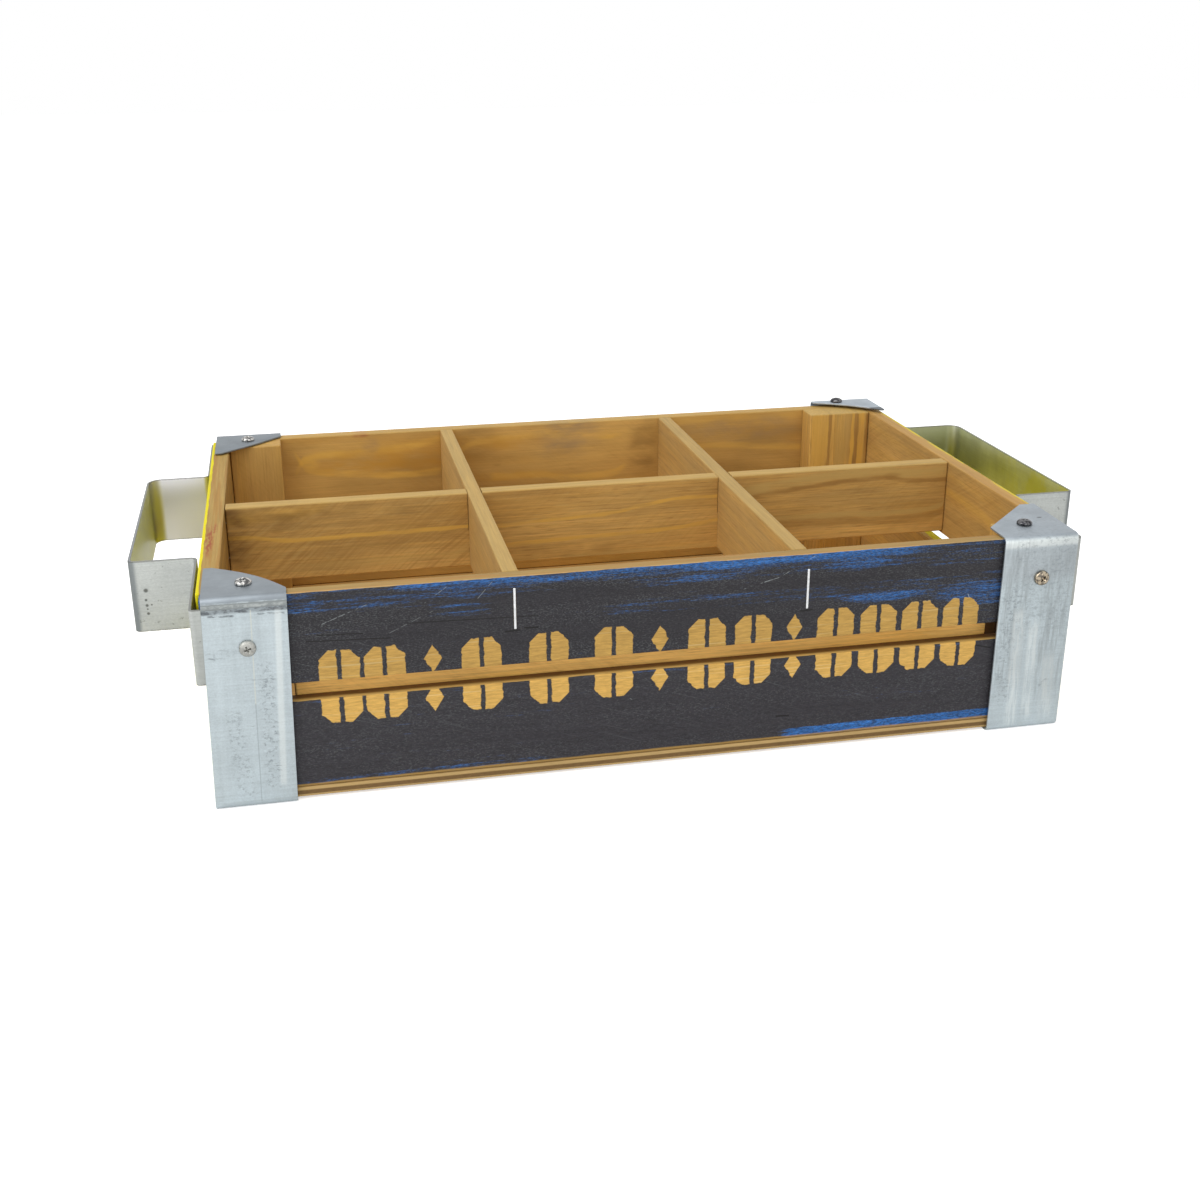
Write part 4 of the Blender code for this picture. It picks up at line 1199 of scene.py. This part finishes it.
def model_screw(length):
    """A pan-head screw with a cross recess, its seat at the origin and its shank down -Z."""
    settings = metal()
    radius, height = settings.head_radius, settings.head_height
    rim = 0.5 * MM
    leave_all()
    bpy.ops.mesh.primitive_cylinder_add(vertices=48, radius=radius, depth=rim, location=(0, 0, rim / 2))
    piece = bpy.context.object
    apply_place(piece)
    bpy.ops.object.mode_set(mode="EDIT")
    pick_faces(lambda co, normal: normal.z > 0.9)
    steps, reached, level = 7, 1.0, rim
    flatness, crown = 0.75, 0.12
    for step in range(1, steps + 1):
        angle = math.pi / 2 * step / steps
        share = max(math.cos(angle) ** flatness, crown)
        rise = rim + (height - rim) * math.sin(angle) - level
        extrude((0.0, 0.0, rise))
        bpy.ops.transform.resize(value=(share / reached, share / reached, 1.0))
        reached, level = share, level + rise
    pick_faces(lambda co, normal: normal.z < -0.9)
    shank, tip, blunt = 1.6 * MM, 3 * MM, 0.12
    bpy.ops.mesh.inset(thickness=radius - shank)
    extrude((0.0, 0.0, tip - length))
    extrude((0.0, 0.0, -tip))
    bpy.ops.transform.resize(value=(blunt, blunt, 1.0))
    bpy.ops.object.mode_set(mode="OBJECT")
    slot_length, slot_width, slot_depth, slot_taper = 4.8 * MM, 1.15 * MM, 1.6 * MM, 0.45
    for turn in (0.0, math.pi / 2):
        leave_all()
        bpy.ops.mesh.primitive_cube_add(size=1.0, location=(0.0, 0.0, height), rotation=(0.0, 0.0, turn))
        cutter = bpy.context.object
        cutter.scale = (slot_length, slot_width, slot_depth * 2)
        apply_place(cutter)
        bpy.ops.object.mode_set(mode="EDIT")
        pick_faces(lambda co, normal: normal.z < -0.9)
        bpy.ops.transform.resize(value=(slot_taper, slot_taper, 1.0))
        bpy.ops.object.mode_set(mode="OBJECT")
        cut_away(piece, cutter)
    round_edges(piece, 0.08 * MM, segments=1, angle=55)
    leave_all()
    return piece


def model_staple():
    """A staple of flattened wire, its crown along X on the wood's face at zero and its legs down -Z."""
    width = metal().wire_width
    box = highest("left_divider_staple") - lowest("left_divider_staple")
    crown, leg = box.z, box.x
    proud = highest("right_divider_staple").x - END_FACE
    thick, point = 1.0 * MM, 0.55
    leave_all()
    bpy.ops.mesh.primitive_cube_add(size=1.0, location=(0.0, 0.0, proud - thick / 2))
    piece = bpy.context.object
    piece.scale = (crown, width, thick)
    apply_place(piece)
    bpy.ops.object.mode_set(mode="EDIT")
    for side in (-1, 1):
        bpy.ops.mesh.select_all(action="SELECT")
        edge = side * (crown / 2 - thick)
        bpy.ops.mesh.bisect(plane_co=(edge, 0.0, 0.0), plane_no=(1.0, 0.0, 0.0))
    for side in (-1, 1):
        pick_faces(lambda co, normal: normal.z < -0.9 and side * co.x > crown / 2 - thick)
        extrude((0.0, 0.0, thick - leg))
        bpy.ops.transform.resize(value=(point, 1.0, 1.0))
    bpy.ops.object.mode_set(mode="OBJECT")
    round_edges(piece, 0.28 * MM, segments=3, angle=60)
    leave_all()
    return piece


def set_out(model, node, place, outward, across, material, name):
    """A copy of a model at a place, its +Z outwards and its +X along a direction."""
    piece = model.copy()
    piece.data = model.data.copy()
    bpy.context.scene.collection.objects.link(piece)
    outward, across = Vector(outward).normalized(), Vector(across).normalized()
    turned = Matrix((across, outward.cross(across), outward)).transposed().to_4x4()
    piece.matrix_world = Matrix.Translation(place) @ turned
    apply_place(piece)
    return keep(piece, name, material, node)


def face_place(node, outward, back):
    """The place on a node's outermost face, set back by a distance."""
    outward = Vector(outward)
    half = (highest(node) - lowest(node)) / 2
    reach = sum(abs(a * b) for a, b in zip(outward, half))
    return middle(node) + outward * (reach - back)


# Boards


def board_looks():
    """Every board's directions, seed and drawn marks."""
    ledge = middle("front_ledger").z / MM
    return {
        "long_divider": board(
            "XZY", 1, (30.0, -38.0), slant=-0.80, saw=0.85, saw_end=-70.0,
            # low=0.32 paints light onto the foot of the board
            line=0.12, dark=0.42, wash=0.10, low=0.32,
            veins=[
                ([(-202, 86), (-185, 85), (-160, 82.5), (-133, 83), (-100, 83.5), (-74, 84)],
                 0.5, 1.2, 0.75, "yellow"),
                ([(-202, 96), (-185, 96.5), (-165, 98), (-150, 103)], 0.3, 5.0, 0.45, "yellow"),
                ([(-66, 82.5), (-25, 84.5), (0, 85.5), (22, 89), (43, 91.5), (66, 91.5)],
                 0.5, 1.0, 0.8, "yellow"),
                ([(-66, 70.5), (-14, 73), (20, 73.5), (55, 76.2), (66, 77.8)], 0.5, 1.1, 0.7, "yellow"),
                ([(-66, 63), (0, 62.5), (60, 63)], 0.8, 1.6, 0.45, "light"),
                ([(73, 90.5), (100, 95.5), (125, 97.5), (160, 99.5), (182, 97), (201, 97)],
                 1.6, 2.4, 0.75, "light"),
                ([(73, 87.5), (100, 91), (125, 94), (160, 95.6), (182, 92.6), (201, 92.5)],
                 0.5, 1.6, 0.8, "dark"),
                ([(73, 76), (102, 75.5), (138, 75.5), (175, 74.5), (201, 79)], 0.9, 1.4, 0.75, "light"),
                ([(73, 72), (102, 71.5), (138, 71.5), (175, 70), (201, 75)], 1.2, 2.0, 0.5, "dark"),
                ([(-200, 66), (-150, 67), (-100, 68), (-74, 69)], 1.0, 2.0, 0.35, "light"),
            ],
            # Painted shade: the deep brown patch at (-200, 86) by the left end and the dark patch at (180,
            # 60) low by the right end stand for the shadows of the end walls
            stains=[
                ((-200, 86), (8, 18), 0.85, "deep_brown"), ((-176, 96), (22, 6), 0.5, "deep_brown"),
                ((180, 60), (26, 9), 0.3, "dark"), ((-176, 88), (3.0, 1.2), 0.5, "dark"),
                ((168, 97.0), (5, 1.2), 0.5, "dark"),
                ((-130, 96), (30, 6), 0.30, "deep_brown"), ((-20, 66), (40, 5), 0.28, "deep_brown"),
            ],
        ),
        "left_cross_divider": board(
            "YZX", 2, (60.0, 40.0), slant=-0.7, saw=0.25, line=0.20, dark=0.20, wash=0.30, edge=0.90,
        ),
        "right_cross_divider": board(
            "YZX", 3, (110.0, 30.0), slant=-0.7, saw=0.25, line=0.22, dark=0.20, wash=0.28, edge=0.84,
        ),
        "back_upper_slat": board(
            "XZY", 4, (80.0, 175.0), saw=0.12, line=0.10, dark=0.40, fibre=0.40, amber=0.5, bare=0.5,
            veins=[
                ([(-160, 87), (-150, 90), (-125, 90.5), (-95, 93), (-78, 96)], 0.6, 3.2, 0.75, "yellow"),
                ([(-160, 85), (-150, 80), (-125, 77), (-100, 75), (-78, 76)], 0.6, 2.6, 0.75, "yellow"),
                ([(-60, 90), (-40, 94), (-12, 95), (5, 94)], 0.6, 2.6, 0.45, "yellow"),
                ([(-40, 70), (-10, 69.5), (5, 66.5), (40, 69.5)], 0.8, 2.4, 0.5, "yellow"),
                ([(76, 82), (107, 82), (130, 80), (160, 78)], 0.8, 2.4, 0.45, "yellow"),
                ([(76, 99), (107, 99.5), (160, 100)], 0.8, 2.4, 0.35, "yellow"),
            ],
            # Painted shade: the deep brown patches at (-88, 78), (-52, 94) and (56, 84) stand for the shade
            # in the corners by the cross dividers
            stains=[
                ((-108, 84), (46, 7.5), 0.75, "amber"), ((-155, 85.5), (5, 3.5), 0.6, "yellow"),
                ((30, 92.5), (9, 2.2), 0.95, "yellow"), ((4, 94), (22, 12), 0.45, "grey"),
                ((-124, 101.6), (4.5, 1.5), 0.75, "red"), ((-118, 94.5), (5, 5), 0.28, "grey"),
                ((-88, 78), (16, 9), 0.18, "deep_brown"), ((-52, 94), (14, 10), 0.26, "deep_brown"),
                ((12, 103), (9, 2.5), 0.4, "grey"), ((56, 84), (10, 18), 0.40, "deep_brown"),
                ((-30, 92), (22, 5), 0.5, "amber"), ((-30, 70), (30, 3), 0.5, "amber"),
                ((-40, 80), (3, 3), 0.4, "deep_brown"), ((120, 92), (40, 8), 0.3, "grey"),
            ],
        ),
        "back_lower_slat": board("XZY", 5, (20.0, 175.0), saw=0.2, fibre=0.4),
        "front_upper_slat": board(
            "XZY", 6, (70.0, -175.0), saw=0.2, line=0.25, bare=0.75, edge=0.62, brown=0.60, rim=0.8,
        ),
        "front_lower_slat": board(
            "XZY", 7, (30.0, -175.0), saw=0.2, line=0.25, joint=True,
        ),
        "left_upper_slat": board(
            "YZX", 8, (60.0, -240.0), saw=0.3, bare=0.8, edge=0.84, pale=0.72, gloss=0.14, brown=0.45,
            smears=[((-57, -208), (20, 1.8), 0.9, "red"), ((-40, -205.5), (9, 1.2), 0.6, "red")],
        ),
        "left_lower_slat": board("YZX", 9, (20.0, -240.0), saw=0.3, gloss=0.14),
        "right_upper_slat": board(
            "YZX", 10, (66.0, 250.0), slant=0.5, saw=0.45, line=0.22,
            dark=0.25, wash=0.12, arris=(0.47, 0.265, 0.066), brown=0.35,
            veins=[([(-118, 72), (-80, 80), (-40, 86), (0, 84)], 1.0, 3.0, 0.35, "yellow")],
        ),
        "right_lower_slat": board("YZX", 11, (30.0, 250.0), saw=0.3, wash=0.2, gloss=0.14),
        "front_ledger": board(
            # pale=1.70 paints light onto the face seen through the gap between the slats, and the two dark
            # patches at its ends are painted shadow in the gaps by the posts
            "XZY", 12, (45.0, -90.0), saw=0.25, line=0.25, dark=0.1, pale=1.70,
            stains=[((-172.8, ledge), (1.4, 14), 1.0, "hole"), ((170.2, ledge), (1.0, 14), 1.0, "hole")],
        ),
        "back_ledger": board("XZY", 13, (45.0, 90.0), saw=0.25),
        "front_left_post": board(
            "ZXY", 14, (-188.0, -90.0), saw=0.3,
            # The dark patch by the ledger is painted shadow in the gap beside it
            stains=[((ledge, highest("front_left_post").x / MM), (18, 9), 1.0, "hole")],
        ),
        "front_right_post": board(
            "ZXY", 15, (188.0, -90.0), saw=0.3,
            # The dark patch by the ledger is painted shadow in the gap beside it
            stains=[((ledge, lowest("front_right_post").x / MM), (18, 9), 1.0, "hole")],
        ),
        "back_left_post": board(
            "ZXY", 16, (-188.0, 80.0), saw=0.10, line=0.20, dark=0.45, fibre=0.5, bare=0.0,
        ),
        "back_right_post": board(
            "ZXY", 17, (182.0, 95.0), spread=1.1, saw=0.10, line=0.30, dark=0.25,
            veins=[
                ([(60, 168.6), (106, 169.2)], 4.8, 1.4, 0.65, "yellow"),
                ([(60, 175.2), (106, 175.5)], 0.6, 0.9, 0.75, "dark"),
                ([(60, 184.0), (106, 184.4)], 3.8, 1.6, 0.5, "light"),
                ([(60, 191.0), (106, 191.1)], 0.8, 0.6, 0.9, "yellow"),
                ([(60, 193.6), (106, 193.8)], 1.0, 0.9, 0.75, "dark"),
                ([(60, 196.7), (106, 196.9)], 1.5, 0.7, 0.8, "yellow"),
                ([(60, 200.8), (106, 201.0)], 0.8, 0.7, 0.75, "dark"),
            ],
        ),
    }


def dress(node, material):
    """Gives a CAD node its finish."""
    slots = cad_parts[node].material_slots
    if not slots:
        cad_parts[node].data.materials.append(material)
    for slot in slots:
        slot.material = material


# The camera's place, and its turns in degrees
CAMERA_PLACE = (-0.16225785, -0.76275165, 0.33549401)
CAMERA_TURNS = (("Z", -4.574), ("Y", -11.105), ("X", 111.665))


# Operators


class CADDY_OT_bare_boards(bpy.types.Operator):
    """Stains the posts, ledgers and dividers"""

    bl_idname = "caddy.bare_boards"
    bl_label = "Posts, ledgers and dividers"

    def execute(self, context):
        looks = board_looks()
        for node in looks:
            if not node.endswith("_slat"):
                dress(node, honey_board(f"honey_{node}", looks[node]))
        return {"FINISHED"}


class CADDY_OT_side_slats(bpy.types.Operator):
    """Paints the front and back slats charcoal over blue, with the stencilled row on the front"""

    bl_idname = "caddy.side_slats"
    bl_label = "Front and back slats"

    def execute(self, context):
        looks = board_looks()
        for side in SIDES:
            for level in ("lower", "upper"):
                node = f"{side}_{level}_slat"
                dress(node, painted_board(f"charcoal_{node}", looks[node], charcoal_coat(side, level)))
        return {"FINISHED"}


class CADDY_OT_end_slats(bpy.types.Operator):
    """Paints the outer faces of the end slats yellow"""

    bl_idname = "caddy.end_slats"
    bl_label = "End slats"

    def execute(self, context):
        looks = board_looks()
        for end in ENDS:
            for level in ("lower", "upper"):
                node = f"{end}_{level}_slat"
                dress(node, painted_board(f"yellow_{node}", looks[node], yellow_coat(end, level)))
        return {"FINISHED"}


class CADDY_OT_panel(bpy.types.Operator):
    """Shows the plies of the bottom panel"""

    bl_idname = "caddy.panel"
    bl_label = "Bottom panel"

    def execute(self, context):
        dress("bottom_panel", plywood())
        return {"FINISHED"}


class CADDY_OT_brackets(bpy.types.Operator):
    """Folds the four corner brackets and trims their flaps"""

    bl_idname = "caddy.brackets"
    bl_label = "Corner brackets"

    def execute(self, context):
        for side, end in CORNERS:
            make_bracket(side, end)
        return {"FINISHED"}


class CADDY_OT_handles(bpy.types.Operator):
    """Bends the two strap handles"""

    bl_idname = "caddy.handles"
    bl_label = "Strap handles"

    def execute(self, context):
        for end in ENDS:
            make_handle(end)
        return {"FINISHED"}


class CADDY_OT_screws(bpy.types.Operator):
    """Models one pan-head screw of each length and sets out the eight screws"""

    bl_idname = "caddy.screws"
    bl_label = "Screws"

    def execute(self, context):
        settings = metal()
        zinc = bright_metal("screw_zinc", settings.screw, 0.14, 0.85)
        # Painted shade: the right flap screws are near black, for heads seen in shade
        shade_black = bright_metal("screw_shade_black", (0.16, 0.16, 0.165), 0.18, 1.0)
        dull = bright_metal("screw_dull", (0.44, 0.44, 0.41), 0.50, 0.2)
        brass = bright_metal("screw_brass", settings.brass, 0.20, 0.75)
        short, long = model_screw(15 * MM), model_screw(20 * MM)
        turns = {"front_left": 20, "front_right": 52, "back_left": 70, "back_right": 10}
        for side, end in CORNERS:
            angle = math.radians(turns[f"{side}_{end}"])
            node = f"{side}_{end}_flap_screw"
            place = face_place(node, (0, 0, 1), settings.head_height)
            across = (math.cos(angle), math.sin(angle), 0.0)
            flap = shade_black if end == "right" else zinc
            set_out(short, node, place, (0, 0, 1), across, flap, f"{node}_turned")
            node = f"{side}_{end}_plate_screw"
            outward = (0, SIDES[side], 0)
            place = face_place(node, outward, settings.head_height)
            across = (math.cos(angle), 0.0, math.sin(angle))
            plate = {"front_left": dull, "front_right": brass}.get(f"{side}_{end}", zinc)
            set_out(long, node, place, outward, across, plate, f"{node}_turned")
        for model in (short, long):
            bpy.data.objects.remove(model, do_unlink=True)
        return {"FINISHED"}


class CADDY_OT_staples(bpy.types.Operator):
    """Models one staple and sets out all of them"""

    bl_idname = "caddy.staples"
    bl_label = "Staples"

    def execute(self, context):
        model = model_staple()
        wire = bright_metal("staple_wire", metal().wire, 0.32)
        proud = highest("right_divider_staple").x - END_FACE
        for node in sorted(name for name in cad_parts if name.endswith("_staple")):
            size, centre = highest(node) - lowest(node), middle(node)
            lies_along = size.x > size.y
            if "panel" in node:
                outward, crown = (0, 0, -1), (1, 0, 0) if lies_along else (0, 1, 0)
            elif lies_along:
                outward, crown = (math.copysign(1, centre.x), 0, 0), (0, 0, 1)
            else:
                outward, crown = (0, math.copysign(1, centre.y), 0), (0, 0, 1)
            place = face_place(node, outward, proud)
            set_out(model, node, place, outward, crown, wire, f"{node}_wire")
        bpy.data.objects.remove(model, do_unlink=True)
        return {"FINISHED"}


class CADDY_OT_stage(bpy.types.Operator):
    """Sets the pale floor, the lamps and the camera"""

    bl_idname = "caddy.stage"
    bl_label = "Stage"

    def execute(self, context):
        self.camera()
        self.lamps()
        self.floor()
        self.surround()
        return {"FINISHED"}

    def camera(self):
        data = bpy.data.cameras.new("Camera")
        data.lens = stage().lens
        data.sensor_width = 36.0
        data.clip_start, data.clip_end = 0.01, 100.0
        camera = bpy.data.objects.new("Camera", data)
        bpy.context.scene.collection.objects.link(camera)
        view = Matrix.Identity(3)
        for axis, angle in CAMERA_TURNS:
            view = view @ Matrix.Rotation(math.radians(angle), 3, axis)
        flip = Matrix(((1, 0, 0), (0, -1, 0), (0, 0, -1)))
        turned = (flip @ view).transposed().to_4x4()
        camera.matrix_world = Matrix.Translation(CAMERA_PLACE) @ turned
        bpy.context.scene.camera = camera

    def lamps(self):
        for name, place, size, power in (
            ("Key", (-1.10, -0.60, 1.00), 1.3, stage().key),
            ("Fill", (0.10, -1.25, 0.45), 1.1, stage().fill),
            ("Overhead", (-0.20, -0.45, 1.35), 1.0, stage().overhead),
        ):
            data = bpy.data.lights.new(name, "AREA")
            data.energy = power
            data.size = size
            lamp = bpy.data.objects.new(name, data)
            bpy.context.scene.collection.objects.link(lamp)
            lamp.location = place
            aim = Vector((0, 0, 0.05)) - Vector(place)
            lamp.rotation_euler = aim.to_track_quat("-Z", "Y").to_euler()

    def floor(self):
        leave_all()
        ground = lowest("front_left_bracket").z - 0.02 * MM
        bpy.ops.mesh.primitive_plane_add(size=12.0, location=(0.0, 0.0, ground))
        floor = bpy.context.object
        floor.name = "Floor"
        apply_place(floor)
        material = bpy.data.materials.new("paper_floor")
        nodes = Nodes(material)
        shader = nodes.tree.nodes["Principled BSDF"]
        shader.inputs["Base Color"].default_value = (*stage().paper, 1.0)
        shader.inputs["Roughness"].default_value = 0.95
        shader.inputs["Specular IOR Level"].default_value = 0.1
        strength = nodes.seen_by("Is Camera Ray") * 0.52
        glow = nodes.value("ShaderNodeEmission", {"Color": (1.0, 1.0, 1.0), "Strength": strength})
        both = nodes.value("ShaderNodeAddShader", {0: Value(nodes, shader.outputs[0]), 1: glow})
        nodes.tree.links.new(both.socket, nodes.tree.nodes["Material Output"].inputs["Surface"])
        floor.data.materials.append(material)

    def surround(self):
        scene = bpy.context.scene
        scene.view_settings.view_transform = "Standard"
        scene.world = bpy.data.worlds.new("Surround")
        nodes = Nodes(scene.world)
        background = nodes.tree.nodes["Background"]
        background.inputs["Color"].default_value = (1.0, 1.0, 1.0, 1.0)
        seen = nodes.seen_by("Is Camera Ray", "Is Glossy Ray", "Is Transmission Ray")
        limits = {"Value": seen, "To Min": stage().sky, "To Max": 1.0}
        level = nodes.value("ShaderNodeMapRange", limits)
        nodes.tree.links.new(level.socket, background.inputs["Strength"])


class CADDY_PT_panel(bpy.types.Panel):
    """Lists the steps, and the sizes and colours that they use"""

    bl_idname = "CADDY_PT_panel"
    bl_label = "Bar caddy"
    bl_space_type = "VIEW_3D"
    bl_region_type = "UI"
    bl_category = "Bar caddy"

    def draw(self, context):
        for step in STEPS:
            self.layout.operator(step.bl_idname)
        for name in SETTINGS:
            group = getattr(context.scene, name)
            box = self.layout.box()
            for key in group.__annotations__:
                box.prop(group, key)


STEPS = (
    CADDY_OT_stage,
    CADDY_OT_bare_boards,
    CADDY_OT_panel,
    CADDY_OT_side_slats,
    CADDY_OT_end_slats,
    CADDY_OT_brackets,
    CADDY_OT_handles,
    CADDY_OT_screws,
    CADDY_OT_staples,
)
SETTINGS = {
    "caddy_wood": WoodSettings,
    "caddy_paint": PaintSettings,
    "caddy_metal": MetalSettings,
    "caddy_stage": StageSettings,
}


def register():
    for name, group in SETTINGS.items():
        bpy.utils.register_class(group)
        setattr(bpy.types.Scene, name, PointerProperty(type=group))
    for step in STEPS:
        bpy.utils.register_class(step)
    bpy.utils.register_class(CADDY_PT_panel)


def unregister():
    bpy.utils.unregister_class(CADDY_PT_panel)
    for step in reversed(STEPS):
        bpy.utils.unregister_class(step)
    for name, group in SETTINGS.items():
        delattr(bpy.types.Scene, name)
        bpy.utils.unregister_class(group)


def main():
    register()
    bpy.ops.caddy.stage()
    bpy.ops.caddy.bare_boards()
    bpy.ops.caddy.panel()
    bpy.ops.caddy.side_slats()
    bpy.ops.caddy.end_slats()
    bpy.ops.caddy.brackets()
    bpy.ops.caddy.handles()
    bpy.ops.caddy.screws()
    bpy.ops.caddy.staples()


if __name__ == "__main__":
    main()
